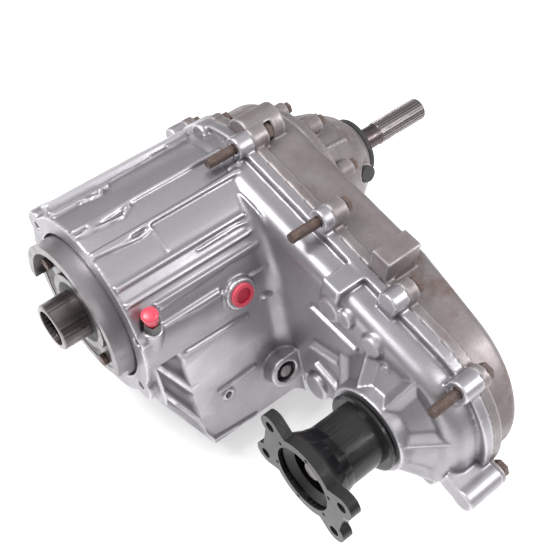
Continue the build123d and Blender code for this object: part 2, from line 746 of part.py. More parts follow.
def rear_case():
    flange = slab(outline(MAIN_R + LIP, FRONT_R + LIP), JOINT_X, JOINT_X + LIP_T)
    front_boss = rod(FRONT_BACK_BEARING_R + 9, JOINT_X + LIP_T, FRONT_BOSS_END_X, -CENTRES)
    body = joined(
        rear_shell(), flange, *joint_bosses(False), rod(TAIL_FLANGE_R - 2, JOINT_X + LIP_T, REAR_PAD_X),
        front_boss, rod(TOP_BOSS[2], TOP_BOSS[0], TOP_BOSS[1], TOP_BOSS[3], TOP_BOSS[4]), block(*REAR_LUG),
        *[rod(DRAIN_BOSS_R, JOINT_X + LIP_T, REAR_PAD_X, y, z) for y, z in (DRAIN, FILL)],
    )
    cavity = slab(outline(MAIN_R - WALL, FRONT_R - WALL), JOINT_X - 1, REAR_WALL_X - WALL)
    body -= cavity - behind_slope(-WALL)
    inside = joined(
        rod(REAR_BOSS_R, REAR_BOSS_X, REAR_WALL_X),
        rod(FRONT_BACK_BEARING_R + 7, FRONT_BACK_BEARING_X, slope_x(-CENTRES) - 1, -CENTRES),
        rod(RAIL_BOSS_R, RAIL_BOSS_X, RAIL_END_X + 4, RAIL_Y, RAIL_Z),
        block(RAIL_BOSS_X, RAIL_END_X + 4, RAIL_Y - RAIL_BOSS_R, RAIL_Y + RAIL_BOSS_R, -MAIN_R + 5, RAIL_Z),
        magnet_pad(),
    )
    for angle in around(TAIL_BOLTS, TAIL_FIRST_DEG):
        inside += rod(TAIL_LUG_R, TAIL_BOSS_X, REAR_WALL_X, *polar(TAIL_PCD / 2, angle))
    holes = [
        rod(REAR_BEARING_R, REAR_BEARING_X, REAR_PAD_X + 1),
        rod(REAR_BEARING_R - 4, REAR_BOSS_X - 1, REAR_BEARING_X + 1),
        rod(REAR_BEARING_R + 2, REAR_BEARING_END_X, REAR_BEARING_END_X + RING_T),
        rod(FRONT_BACK_BEARING_R, FRONT_BACK_BEARING_X - 1, FRONT_BACK_BEARING_X + FRONT_BACK_BEARING_W, -CENTRES),
        rod(RAIL_R + SEAT, RAIL_BOSS_X - 1, RAIL_END_X, RAIL_Y, RAIL_Z),
    ]
    for y, z, _, x_rear, _ in JOINT_BOLTS:
        holes.append(rod(BOLT_HOLE_R, JOINT_X - 1, x_rear + 1, y, z))
        holes.append(rod(BOSS_R - 1, x_rear, x_rear + BOLT_HEAD_T + 2, y, z))
    for y, z in DOWELS:
        holes.append(rod(DOWEL_R + SEAT, JOINT_X - 1, JOINT_X + DOWEL_IN, y, z))
    for y, z in (DRAIN, FILL):
        holes.append(rod(DRAIN_R + SEAT, REAR_WALL_X - WALL - 1, REAR_PAD_X + 1, y, z))
    for angle in around(TAIL_BOLTS, TAIL_FIRST_DEG):
        holes.append(rod(SMALL_HOLE_R, TAIL_BOSS_X + 1, REAR_PAD_X + 1, *polar(TAIL_PCD / 2, angle)))
    return Compound(cut(body + inside, *holes).solids())


def magnet_pad():
    """Flat seat for the magnet on the chamber's floor."""
    return block(
        MAGNET_X - MAGNET_T, MAGNET_X + 8, MAGNET_Y - MAGNET_R, MAGNET_Y + MAGNET_R, -MAIN_R + 5, SCREEN_Z + 1,
    )


def magnet():
    return Pos(MAGNET_X, MAGNET_Y, SCREEN_Z + 1 + MAGNET_T / 2) * Cylinder(MAGNET_R / 2 + 1, MAGNET_T)


# Tail housing and what it carries

def tail_housing():
    outer = turned([
        (REAR_PAD_X, 0), (REAR_PAD_X, TAIL_FLANGE_R), (REAR_PAD_X + TAIL_FLANGE_T, TAIL_FLANGE_R),
        (REAR_PAD_X + TAIL_FLANGE_T, TAIL_R), *TAIL_SHAPE,
        (TAIL_END_X, TAIL_NOSE_R), (TAIL_END_X, 0),
    ])
    lugs = [
        rod(TAIL_LUG_R, REAR_PAD_X, TAIL_LUG_X, *polar(TAIL_PCD / 2, a)) for a in around(TAIL_BOLTS, TAIL_FIRST_DEG)
    ]
    port = radial_bar(SENSOR_HEAD_R + 2, SENSOR_X, SENSOR_DEG, TONE_R + 5, SENSOR_SEAT)
    body = joined(outer, *lugs, port)
    cavity = turned([
        (REAR_PAD_X - 1, 0), (REAR_PAD_X - 1, TAIL_MOUTH_R), *TAIL_CAVITY, (BUSHING_X, REAR_SEAL_R),
        (TAIL_END_X + 1, REAR_SEAL_R), (TAIL_END_X + 1, 0),
    ])
    body -= cavity
    body -= radial_bar(SENSOR_R + SEAT, SENSOR_X, SENSOR_DEG, SENSOR_IN, SENSOR_SEAT + 1)
    body -= radial_bar(SENSOR_HEAD_R + 1, SENSOR_X, SENSOR_DEG, SENSOR_SEAT, SENSOR_SEAT + 20)
    for angle in around(TAIL_BOLTS, TAIL_FIRST_DEG):
        body -= rod(SMALL_HOLE_R, REAR_PAD_X - 1, TAIL_LUG_X + 1, *polar(TAIL_PCD / 2, angle))
    return Compound(body.solids())


def tail_bolts():
    bolts = []
    for angle in around(TAIL_BOLTS, TAIL_FIRST_DEG):
        y, z = polar(TAIL_PCD / 2, angle)
        bolts.append(bolt(TAIL_LUG_X, TAIL_BOLT_TIP_X, y, z, SMALL_BOLT_R, SMALL_HEAD_R, SMALL_HEAD_T))
    return parts_of(*bolts)


def rear_seal():
    press = tube(REAR_SEAL_R - SEAT, REAR_SEAL_IN_R, REAR_SEAL_X, TAIL_END_X)
    return press + tube(SEAL_RING_R, REAR_SEAL_IN_R, TAIL_END_X, SEAL_RING_END_X)


def tail_bushing():
    return tube(REAR_SEAL_R - SEAT, BUSHING_IN_R, BUSHING_X, REAR_SEAL_X)


def tone_ring():
    ring = tube(TONE_R, TAIL_SHAFT_R, TONE_X, TONE_X + TONE_W)
    slots = [rod(1.0, TONE_X - 1, TONE_X + TONE_W + 1, *polar(TONE_R, a)) for a in around(TONE_TEETH)]
    return cut(ring, *slots)


def speed_sensor():
    stem = radial_bar(SENSOR_R, SENSOR_X, SENSOR_DEG, SENSOR_IN, SENSOR_SEAT)
    return stem + radial_bar(SENSOR_HEAD_R, SENSOR_X, SENSOR_DEG, SENSOR_SEAT, SENSOR_OUT)


# Fasteners

def case_bolts():
    bolts = []
    for y, z, x_front, x_rear, out in JOINT_BOLTS:
        tip = x_front - out if out else x_front + 2 * SCREW_IN
        bolts.append(bolt(x_rear, tip, y, z))
    return parts_of(*bolts)


def dowels():
    return parts_of(*[rod(DOWEL_R, JOINT_X - DOWEL_IN + 0.5, JOINT_X + DOWEL_IN - 0.5, y, z) for y, z in DOWELS])


def drain_and_fill(place):
    y, z = place
    plug = rod(DRAIN_R, REAR_WALL_X - WALL, REAR_PAD_X, y, z)
    return plug + hexagon(DRAIN_R + 3, REAR_PAD_X, REAR_PAD_X + DRAIN_HEAD_T, y, z)


# Input side

def input_retainer():
    body = rod(RETAINER_R, RETAINER_X, POCKET_DEPTH)
    body -= tube(RETAINER_R - RETAINER_RIM, RETAINER_BOSS_R, RETAINER_X - 1, RETAINER_WEB_X)
    body -= rod(RETAINER_BOSS_R + 1, RETAINER_X - 1, RETAINER_BOSS_X)
    body -= rod(INPUT_SEAL_R, RETAINER_X - 1, RETAINER_BOSS_X + INPUT_SEAL_T)
    body -= rod(INPUT_JOURNAL_R + 2, RETAINER_X - 1, POCKET_DEPTH + 1)
    low = block(RETAINER_X - 1, RETAINER_LOW_X, -RETAINER_R, RETAINER_R, -RETAINER_R - 1, RETAINER_CUT_Z)
    body -= low - rod(RETAINER_BOSS_R, RETAINER_X - 1, RETAINER_LOW_X)
    for angle in around(RETAINER_BOLTS, RETAINER_FIRST_DEG):
        y, z = polar(RETAINER_PCD / 2, angle)
        body -= rod(SMALL_HOLE_R, RETAINER_X - 1, POCKET_DEPTH + 1, y, z)
    return Compound(body.solids())


def retainer_bolts():
    bolts = []
    for angle in around(RETAINER_BOLTS, RETAINER_FIRST_DEG):
        y, z = polar(RETAINER_PCD / 2, angle)
        bolts.append(bolt(RETAINER_WEB_X, RETAINER_BOLT_X, y, z, SMALL_BOLT_R, SMALL_HEAD_R, SMALL_HEAD_T))
    return parts_of(*bolts)


def input_seal():
    return tube(INPUT_SEAL_R - SEAT, HUB_R + SEAL_GAP, RETAINER_BOSS_X, RETAINER_BOSS_X + INPUT_SEAL_T)


def input_gear():
    body = turned([
        (HUB_X, 0), (HUB_X, HUB_R - 1.5), (HUB_X + 1.5, HUB_R), (INPUT_JOURNAL_X, HUB_R),
        (INPUT_JOURNAL_X, INPUT_JOURNAL_R), (POCKET_DEPTH + INPUT_BEARING_W + 0.5, INPUT_JOURNAL_R),
        (POCKET_DEPTH + INPUT_BEARING_W + 0.5, INPUT_COLLAR_R), (GEAR_X, INPUT_COLLAR_R), (GEAR_X, 0),
    ])
    body += slab(gear_outline(SUN_TEETH, ADDENDUM, DEDENDUM, TOOTH_SHARE), GEAR_X, GEAR_END_X)
    body -= slab(spline_outline(HUB_SPLINES, HUB_HOLE_R + SPLINE_DEPTH), HUB_X - 1, HUB_HOLE_END_X)
    body -= rod(HUB_PILOT_R, HUB_X - 1, HUB_X + HUB_PILOT_DEPTH)
    body -= rod(PILOT_BEARING_R, PILOT_X - 1, GEAR_END_X + 1)
    return body


def pilot_bearing():
    return tube(PILOT_BEARING_R - SEAT, PILOT_R + RUN, PILOT_X, PILOT_X + PILOT_BEARING_W)


# Planetary set

def planet_centre(index):
    return polar(PLANET_CENTRE_R, index * 360.0 / PLANETS)


def planet_carrier():
    front_x = GEAR_X - CARRIER_GAP - CARRIER_FRONT_T
    front = tube(CARRIER_R, CARRIER_HOLE_R, front_x, front_x + CARRIER_FRONT_T)
    rear = tube(CARRIER_R, SHAFT_R, CARRIER_REAR_X, CARRIER_REAR_X + CARRIER_REAR_T)
    posts = carrier_posts()
    body = joined(rear, front, *posts)
    for i in range(PLANETS):
        y, z = planet_centre(i)
        body -= rod(PLANET_PIN_R + SEAT, front_x - 1, CARRIER_REAR_X + CARRIER_REAR_T + 1, y, z)
    return Compound(body.solids())


def carrier_posts():
    """Posts between the planets that join the carrier's two plates."""
    posts = []
    for angle in around(PLANETS, 180.0 / PLANETS):
        y, z = polar(PLANET_CENTRE_R, angle)
        posts.append(rod(CARRIER_POST_R, GEAR_X - CARRIER_GAP - 1, CARRIER_REAR_X + 1, y, z))
    return posts


def planet_pins():
    x0, x1 = GEAR_X - CARRIER_GAP - CARRIER_FRONT_T, CARRIER_REAR_X + CARRIER_REAR_T
    return parts_of(*[rod(PLANET_PIN_R, x0, x1, *planet_centre(i)) for i in range(PLANETS)])


def planet_gear(index):
    y, z = planet_centre(index)
    face = Rot(0, 0, 180.0 / PLANET_TEETH) * gear_outline(PLANET_TEETH, ADDENDUM, DEDENDUM, TOOTH_SHARE)
    gear = slab(Pos(y, z) * face, GEAR_X, GEAR_END_X)
    return gear - rod(PLANET_PIN_R + RUN, GEAR_X - 1, GEAR_END_X + 1, y, z)


def ring_gear():
    hole = Rot(0, 0, 180.0 / RING_TEETH) * gear_outline(RING_TEETH, DEDENDUM, ADDENDUM, 1 - TOOTH_SHARE)
    ring = rod(BARREL_BORE_R - SEAT, GEAR_X - 0.5, GEAR_END_X + 0.5)
    return ring - slab(hole, GEAR_X - 1, GEAR_END_X + 1)


# Main shaft and sleeves

def main_shaft():
    body = turned([
        (PILOT_X, 0), (PILOT_X, PILOT_R), (CARRIER_REAR_X - 0.5, PILOT_R), (CARRIER_REAR_X - 0.5, SHAFT_R),
        (REAR_BEARING_END_X + 2 * RING_T, SHAFT_R), (REAR_BEARING_END_X + 2 * RING_T, TAIL_SHAFT_R),
        (TONE_X + TONE_W, TAIL_SHAFT_R), (NECK_X, NECK_R), (SPLINE_START_X, NECK_R), (SPLINE_START_X, 0),
    ])
    tip = turned([
        (SPLINE_START_X, 0), (SPLINE_START_X, NECK_R), (SPLINE_START_X + SPLINE_CHAMFER, OUTPUT_R + 1),
        (SHAFT_END_X - SPLINE_CHAMFER, OUTPUT_R + 0.2), (SHAFT_END_X, OUTPUT_R - SPLINE_CHAMFER), (SHAFT_END_X, 0),
    ])
    body += slab(spline_outline(OUTPUT_SPLINES, OUTPUT_R), SPLINE_START_X, SHAFT_END_X) & tip
    body += slab(spline_outline(SLEEVE_SPLINES, SLEEVE_SPLINE_R), *range_splines())
    return body - snap_groove()


def range_splines():
    """The stretch of shaft that the range sleeve slides on."""
    return RANGE_SLEEVE_X - 1.0, RANGE_SLEEVE_X + RANGE_SLEEVE_W + RANGE_TRAVEL + 2


def snap_groove():
    return tube(SHAFT_R + 1, SHAFT_R - 1, REAR_BEARING_END_X, REAR_BEARING_END_X + RING_T)


def shaft_snap_ring():
    return snap_ring(SHAFT_R + 5, SHAFT_R - 1, REAR_BEARING_END_X)


def sleeve(x0, width, hole):
    middle = x0 + width / 2
    body = rod(SLEEVE_R, x0, x0 + width)
    body -= tube(SLEEVE_R + 1, GROOVE_R, middle - GROOVE_W / 2, middle + GROOVE_W / 2)
    return body - slab(hole, x0 - 1, x0 + width + 1)


def range_sleeve():
    hole = spline_outline(SLEEVE_SPLINES, SLEEVE_SPLINE_R, slack=SPLINE_SLACK)
    return sleeve(RANGE_SLEEVE_X, RANGE_SLEEVE_W, hole)


def mode_sleeve():
    hole = spline_outline(MODE_SPLINES, MODE_SPLINE_R, slack=SPLINE_SLACK)
    return sleeve(MODE_SLEEVE_X, MODE_SLEEVE_W, hole)


def mode_hub():
    hub = slab(spline_outline(MODE_SPLINES, MODE_SPLINE_R), MODE_HUB_X, MODE_HUB_X + MODE_HUB_W)
    return hub - rod(SHAFT_R, MODE_HUB_X - 1, MODE_HUB_X + MODE_HUB_W + 1)


# Forks, rail and sector

def shift_rail():
    return rod(RAIL_R, RAIL_X, RAIL_END_X, RAIL_Y, RAIL_Z)


def fork(blade_x, hub_x, arm_x, pin, finger_x0, finger_x1):
    """A shift fork with its hub on the rail and a pin in the sector's cam slot."""
    turn = degrees(atan2(RAIL_Z, RAIL_Y))
    reach = hypot(RAIL_Y, RAIL_Z)
    ring = tube(FORK_OUT_R, FORK_IN_R, blade_x, blade_x + FORK_T)
    open_side = Rot(turn, 0, 0) * block(blade_x - 1, blade_x + FORK_T + 1, -2 * FORK_OUT_R, 0, -60, 60)
    first = min(blade_x, arm_x)
    last = max(blade_x + FORK_T, arm_x + FORK_ARM_T)
    root = Rot(turn, 0, 0) * block(first, last, SLEEVE_R + 2, 62, -FORK_ARM_W / 2, FORK_ARM_W / 2)
    arm = Rot(turn, 0, 0) * block(arm_x, arm_x + FORK_ARM_T, 58, reach, -FORK_ARM_W / 2, FORK_ARM_W / 2)
    hub = rod(FORK_HUB_R, hub_x, hub_x + FORK_HUB_W, RAIL_Y, RAIL_Z)
    inner = -PLATE_IN - PLATE_T
    pin_x, pin_depth = SECTOR_X + pin[0], SECTOR_DEPTH - pin[1]
    middle = (finger_x0 + finger_x1) / 2
    finger = on_wall(
        Rectangle(finger_x1 - finger_x0, FINGER_W), middle, pin_depth, inner - GAP - FINGER_T, inner - GAP
    )
    post_x0, post_x1 = max(finger_x0, hub_x), min(finger_x1, hub_x + FORK_HUB_W)
    post = on_wall(
        Rectangle(post_x1 - post_x0, FINGER_W), (post_x0 + post_x1) / 2, pin_depth, inner - 20, inner - GAP - 1
    )
    cam_pin = on_wall(Circle(CAM_PIN_R), pin_x, pin_depth, inner - 2, -PLATE_IN)
    body = joined(ring - open_side, root, arm, hub, post, finger, cam_pin)
    return body - rod(RAIL_R + RUN, hub_x - 20, hub_x + 40, RAIL_Y, RAIL_Z)


def range_fork():
    blade_x = RANGE_SLEEVE_X + RANGE_SLEEVE_W / 2 - FORK_T / 2
    return fork(blade_x, RANGE_HUB_X, RANGE_HUB_X, RANGE_PIN, RANGE_HUB_X + 2, SECTOR_X + RANGE_PIN[0] + 4)


def mode_fork():
    blade_x = MODE_SLEEVE_X + MODE_SLEEVE_W / 2 - FORK_T / 2
    arm_x = blade_x + FORK_T - FORK_ARM_T
    return fork(blade_x, MODE_HUB_FORK_X, arm_x, MODE_PIN, MODE_HUB_FORK_X + 8, SECTOR_X + MODE_PIN[0] + 4)


def cam_path(pin, travel):
    """Where a fork's pin runs in the sector plate as the sector turns."""
    points = []
    for step in range(CAM_STEPS + 1):
        share = step / CAM_STEPS
        turn = radians(SECTOR_SWING_DEG * share)
        x, y = pin[0] + travel * share, pin[1]
        points.append((x * cos(turn) + y * sin(turn), y * cos(turn) - x * sin(turn)))
    return points


def cam_slot(pin, travel):
    """The slot that a fork's pin runs in."""
    points = cam_path(pin, travel)
    face = Pos(*points[0]) * Circle(CAM_SLOT_R)
    for a, b in zip(points, points[1:]):
        length = hypot(b[0] - a[0], b[1] - a[1])
        turn = degrees(atan2(b[1] - a[1], b[0] - a[0]))
        middle = Pos((a[0] + b[0]) / 2, (a[1] + b[1]) / 2) * Rot(0, 0, turn)
        face += middle * Rectangle(length, 2 * CAM_SLOT_R)
        face += Pos(*b) * Circle(CAM_SLOT_R)
    return face


def fan(radius, start, end):
    """A sector of a circle between two angles."""
    middle = radians((start + end) / 2)
    far = radius / cos(radians((end - start) / 2)) + 1
    corners = [(far * cos(radians(a)), far * sin(radians(a))) for a in (start, end)]
    tip = (far * cos(middle), far * sin(middle))
    return Circle(radius) & Polygon((0, 0), corners[0], tip, corners[1], align=None)


def shift_sector():
    """The sector shaft with its cam plate."""
    plate = Circle(PLATE_HUB_R) + fan(PLATE_RANGE_R, 75.0, 165.0) + fan(PLATE_MODE_R, -30.0, 80.0)
    plate -= cam_slot(RANGE_PIN, RANGE_TRAVEL)
    plate -= cam_slot(MODE_PIN, -MODE_TRAVEL)
    body = on_wall(plate, SECTOR_X, SECTOR_DEPTH, -PLATE_IN - PLATE_T, -PLATE_IN)
    smooth = SECTOR_BOSS_H - SECTOR_RECESS
    body += on_wall(Circle(SECTOR_SHAFT_R), SECTOR_X, SECTOR_DEPTH, -PLATE_IN - 1, smooth)
    collar = on_wall(Circle(SECTOR_SHAFT_R + 4), SECTOR_X, SECTOR_DEPTH, -PLATE_IN - 1, -WALL - GAP)
    tip = spline_outline(SECTOR_SPLINES, SECTOR_SHAFT_R, 0.7)
    return joined(body, collar, on_wall(tip, SECTOR_X, SECTOR_DEPTH, smooth, SECTOR_TIP))


def sector_seal():
    ring = Circle(SECTOR_RECESS_R - SEAT) - Circle(SECTOR_SHAFT_R + SEAL_GAP)
    return on_wall(ring, SECTOR_X, SECTOR_DEPTH, SECTOR_SEAL_X, SECTOR_SEAL_X + SECTOR_SEAL_T)


def detent(radius, depth0, depth1, inner=0.0):
    return down_wall(radius, SECTOR_X, -PLATE_IN - PLATE_T / 2, depth0, depth1, inner)


def detent_plunger():
    return detent(DETENT_R, DETENT_TIP + 4, DETENT_REAR) + detent(DETENT_R - 2, DETENT_TIP, DETENT_TIP + 5)


def detent_spring():
    return detent(DETENT_R - 0.6, DETENT_REAR, DETENT_PLUG, DETENT_R - 1.8)


def detent_plug():
    y, z = wall_point(DETENT_HEAD, -PLATE_IN - PLATE_T / 2)
    plane = Plane(origin=(SECTOR_X, y, z), x_dir=(1, 0, 0), z_dir=SECTOR_DOWN)
    return detent(DETENT_R, DETENT_PLUG, DETENT_HEAD) + extrude(plane * RegularPolygon(7.5, 6), amount=5)


# Chain drive and oil pump

def sprocket(seat_r, y):
    face = Circle(SPROCKET_ROOT_R)
    tooth = Polygon(
        (SPROCKET_ROOT_R - 1, -3.2), (SPROCKET_R, -1.4), (SPROCKET_R, 1.4), (SPROCKET_ROOT_R - 1, 3.2), align=None
    )
    for angle in around(SPROCKET_TEETH):
        face += Rot(0, 0, angle) * tooth
    body = slab(Pos(y, 0) * face, SPROCKET_X, SPROCKET_END_X)
    middle = (SPROCKET_X + SPROCKET_END_X) / 2
    recess = tube(SPROCKET_ROOT_R - 8, SPROCKET_HUB_R, SPROCKET_X - 1, middle - 6, y)
    body = body - recess - tube(SPROCKET_ROOT_R - 8, SPROCKET_HUB_R, middle + 6, SPROCKET_END_X + 1, y)
    return body - rod(seat_r, SPROCKET_X - 1, SPROCKET_END_X + 1, y)


def drive_sprocket():
    body = sprocket(SHAFT_R, 0.0)
    body += slab(spline_outline(MODE_SPLINES, MODE_SPLINE_R), CLUTCH_X, SPROCKET_X - 8)
    body += rod(SPROCKET_HUB_R - 2, SPROCKET_X - 9, SPROCKET_X + 1)
    return body - rod(SHAFT_R, CLUTCH_X - 1, SPROCKET_END_X + 1)


def driven_sprocket():
    return sprocket(FRONT_SPROCKET_SEAT_R, -CENTRES)


def drive_chain():
    inner = SPROCKET_R + CHAIN_GAP
    loop = outline(inner + CHAIN_T, inner + CHAIN_T) - outline(inner, inner)
    return slab(loop, SPROCKET_X + CHAIN_IN, SPROCKET_END_X - CHAIN_IN)


def oil_pump():
    body = tube(PUMP_R, SHAFT_R + GAP, REAR_BOSS_X - PUMP_T, REAR_BOSS_X)
    inlet = Pos(PICKUP_X, 0, -PUMP_R) * Cylinder(PICKUP_R + 3, 8)
    return body + inlet - Pos(PICKUP_X, 0, -PUMP_R) * Cylinder(PICKUP_R + SEAT, 10)


def pickup_tube():
    top, low = -PUMP_R + 4, SCREEN_Z + SCREEN_T
    return Pos(PICKUP_X, 0, (top + low) / 2) * (Cylinder(PICKUP_R, top - low) - Cylinder(PICKUP_R - 1, top - low))


def pickup_screen():
    return Pos(PICKUP_X, 0, SCREEN_Z + SCREEN_T / 2) * Cylinder(SCREEN_R, SCREEN_T)


# Front output

def front_output_shaft():
    bearing_end = FRONT_BEARING_END_X
    return turned([
        (NUT_X - NUT_OUT, 0), (NUT_X - NUT_OUT, THREAD_R - 1), (NUT_X - NUT_OUT + 1, THREAD_R),
        (BOWL_FLOOR_X, THREAD_R), (BOWL_FLOOR_X, FRONT_SHAFT_R), (DEFLECTOR_X + 5, FRONT_SHAFT_R),
        (DEFLECTOR_X + 5, FRONT_JOURNAL_R), (bearing_end, FRONT_JOURNAL_R), (bearing_end, 24), (bearing_end + 8, 24),
        (bearing_end + 8, FRONT_SPROCKET_SEAT_R), (SPROCKET_END_X + 3, FRONT_SPROCKET_SEAT_R),
        (SPROCKET_END_X + 3, 18), (FRONT_BACK_BEARING_X, 18), (FRONT_BACK_BEARING_X, FRONT_BACK_JOURNAL_R),
        (FRONT_BACK_BEARING_X + FRONT_BACK_BEARING_W - 0.5, FRONT_BACK_JOURNAL_R),
        (FRONT_BACK_BEARING_X + FRONT_BACK_BEARING_W - 0.5, 0),
    ], -CENTRES)


def front_output_flange():
    face = Circle(FLANGE_FACE_R)
    for y in (-FLANGE_HOLE_Y, FLANGE_HOLE_Y):
        for z in (-FLANGE_HOLE_Z, FLANGE_HOLE_Z):
            arm = hypot(y, z)
            turn = degrees(atan2(z, y))
            face += Rot(0, 0, turn) * Pos(arm / 2, 0) * Rectangle(arm, 2 * FLANGE_EAR_R)
            face += Pos(y, z) * Circle(FLANGE_EAR_R)
    face += Rectangle(2 * (FLANGE_HOLE_Y + FLANGE_WEB), 2 * FLANGE_HOLE_Z)
    plate = slab(Pos(-CENTRES, 0) * face, FLANGE_X, FLANGE_X + FLANGE_T)
    neck = turned([
        (FLANGE_X, 0), (FLANGE_X, FLANGE_FACE_R), (FLANGE_X + FLANGE_T, FLANGE_FACE_R), *FLANGE_FLARE,
        (DEFLECTOR_X + DEFLECTOR_T, NECK_OUT_R), (DEFLECTOR_X + DEFLECTOR_T, 0),
    ], -CENTRES)
    body = plate + neck
    mouth_x = FLANGE_X + BOWL_MOUTH
    body -= rod(BOWL_MOUTH_R, FLANGE_X - 1, mouth_x, -CENTRES)
    body -= cone(BOWL_MOUTH_R, BOWL_R, mouth_x, mouth_x + BOWL_TAPER, -CENTRES)
    body -= rod(BOWL_R, FLANGE_X - 1, BOWL_FLOOR_X, -CENTRES)
    body -= rod(FRONT_SHAFT_R, FLANGE_X, DEFLECTOR_X + 6, -CENTRES)
    for y in (-FLANGE_HOLE_Y, FLANGE_HOLE_Y):
        for z in (-FLANGE_HOLE_Z, FLANGE_HOLE_Z):
            body -= rod(FLANGE_HOLE_R, FLANGE_X - 1, FLANGE_X + FLANGE_T + 12, y - CENTRES, z)
    for angle in around(FLANGE_SMALL_HOLES, 30.0):
        y, z = polar(FLANGE_SMALL_PCD / 2, angle)
        body -= rod(FLANGE_SMALL_HOLE_R, FLANGE_X - 1, FLANGE_X + 8, y - CENTRES, z)
    return Compound(body.solids())


def deflector():
    return turned([
        (DEFLECTOR_X, NECK_OUT_R), (DEFLECTOR_X, DEFLECTOR_R - 3), (DEFLECTOR_X + 1, DEFLECTOR_R),
        (DEFLECTOR_X + DEFLECTOR_T, DEFLECTOR_R), (DEFLECTOR_X + DEFLECTOR_T, NECK_OUT_R),
    ], -CENTRES)


def flange_nut():
    return hexagon(NUT_R, NUT_X, BOWL_FLOOR_X, -CENTRES) - rod(THREAD_R, NUT_X - 1, BOWL_FLOOR_X + 1, -CENTRES)


def front_output_seal():
    return tube(FRONT_BEARING_R - SEAT, FRONT_JOURNAL_R + SEAL_GAP, SNOUT_X, FRONT_BEARING_X, -CENTRES)


# Vent, port plug and the joint corner screw

def vent_nipple():
    corners = Pos(VENT_X, VENT_Y) * RegularPolygon(VENT_HEX_R, 6)
    hexagonal = extrude(Plane.XY.offset(VENT_SEAT_Z) * corners, VENT_HEX_T)
    shank = Pos(VENT_X, VENT_Y, VENT_SEAT_Z - VENT_SHANK / 2) * Cylinder(VENT_R, VENT_SHANK)
    stem_z = VENT_SEAT_Z + VENT_HEX_T
    stem = Pos(VENT_X, VENT_Y, stem_z + VENT_STEM_T / 2) * Cylinder(VENT_STEM_R, VENT_STEM_T)
    bore = Pos(VENT_X, VENT_Y, VENT_SEAT_Z) * Cylinder(VENT_BORE_R, 60)
    return joined(hexagonal, shank, stem) - bore


def vent_cap():
    z0 = VENT_SEAT_Z + VENT_HEX_T
    outer = Pos(VENT_X, VENT_Y, z0 + CAP_H / 2) * Cylinder(CAP_R, CAP_H)
    inner = Pos(VENT_X, VENT_Y, z0 + VENT_STEM_T / 2) * Cylinder(VENT_STEM_R + SEAT, VENT_STEM_T + 0.4)
    return outer - inner


def port_plug():
    stem = radial_bar(PORT_R - SEAT, PORT_X, PORT_DEG, BARREL_BORE_R + 4, PORT_SEAT_R)
    head = radial_bar(PORT_PLUG_R, PORT_X, PORT_DEG, PORT_SEAT_R, PORT_SEAT_R + PORT_PLUG_T)
    dish = radial_bar(PORT_PLUG_R - 4, PORT_X, PORT_DEG, PORT_SEAT_R + 1, PORT_SEAT_R + PORT_PLUG_T + 1)
    return stem + head - dish


def planet_maker(index):
    return lambda: planet_gear(index)


NODES = {
    "front_case": front_case,
    "rear_case": rear_case,
    "tail_housing": tail_housing,
    "tail_bolts": tail_bolts,
    "rear_seal": rear_seal,
    "tail_bushing": tail_bushing,
    "tone_ring": tone_ring,
    "speed_sensor": speed_sensor,
    "case_bolts": case_bolts,
    "dowels": dowels,
    "drain_plug": lambda: drain_and_fill(DRAIN),
    "fill_plug": lambda: drain_and_fill(FILL),
    "input_retainer": input_retainer,
    "retainer_bolts": retainer_bolts,
    "input_seal": input_seal,
    "input_bearing": lambda: bearing(
        INPUT_BEARING_R, INPUT_JOURNAL_R, POCKET_DEPTH, POCKET_DEPTH + INPUT_BEARING_W
    ),
    "input_gear": input_gear,
    "pilot_bearing": pilot_bearing,
    "planet_carrier": planet_carrier,
    "planet_pins": planet_pins,
    "ring_gear": ring_gear,
    "main_shaft": main_shaft,
    "shaft_snap_ring": shaft_snap_ring,
    "case_snap_ring": lambda: snap_ring(REAR_BEARING_R + 2 - SEAT, REAR_BEARING_R - 4, REAR_BEARING_END_X),
    "rear_bearing": lambda: bearing(REAR_BEARING_R, SHAFT_R, REAR_BEARING_X, REAR_BEARING_END_X),
    "range_sleeve": range_sleeve,
    "mode_sleeve": mode_sleeve,
    "mode_hub": mode_hub,
    "shift_rail": shift_rail,
    "range_fork": range_fork,
    "mode_fork": mode_fork,
    "shift_sector": shift_sector,
    "sector_seal": sector_seal,
    "detent_plunger": detent_plunger,
    "detent_spring": detent_spring,
    "detent_plug": detent_plug,
    "drive_sprocket": drive_sprocket,
    "driven_sprocket": driven_sprocket,
    "drive_chain": drive_chain,
    "oil_pump": oil_pump,
    "pickup_tube": pickup_tube,
    "pickup_screen": pickup_screen,
    "magnet": magnet,
    "front_output_shaft": front_output_shaft,
    "front_output_flange": front_output_flange,
    "deflector": deflector,
    "flange_nut": flange_nut,
    "front_output_seal": front_output_seal,
    "front_output_bearing": lambda: bearing(
        FRONT_BEARING_R, FRONT_JOURNAL_R, FRONT_BEARING_X, FRONT_BEARING_END_X, -CENTRES
    ),
    "front_rear_bearing": lambda: bearing(
        FRONT_BACK_BEARING_R, FRONT_BACK_JOURNAL_R, FRONT_BACK_BEARING_X,
        FRONT_BACK_BEARING_X + FRONT_BACK_BEARING_W, -CENTRES,
    ),
    "vent_nipple": vent_nipple,
    "vent_cap": vent_cap,
    "port_plug": port_plug,
}
for number in range(PLANETS):
    NODES[f"planet_gear_{number + 1}"] = planet_maker(number)

os.makedirs("parts", exist_ok=True)
for name, make in NODES.items():
    export_step(make(), f"parts/{name}.step")
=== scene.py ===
import json
from collections import namedtuple
from math import cos, pi, radians, sin

import bmesh
import bpy
from bpy.props import FloatProperty, FloatVectorProperty, IntProperty, PointerProperty
from mathutils import Matrix, Vector

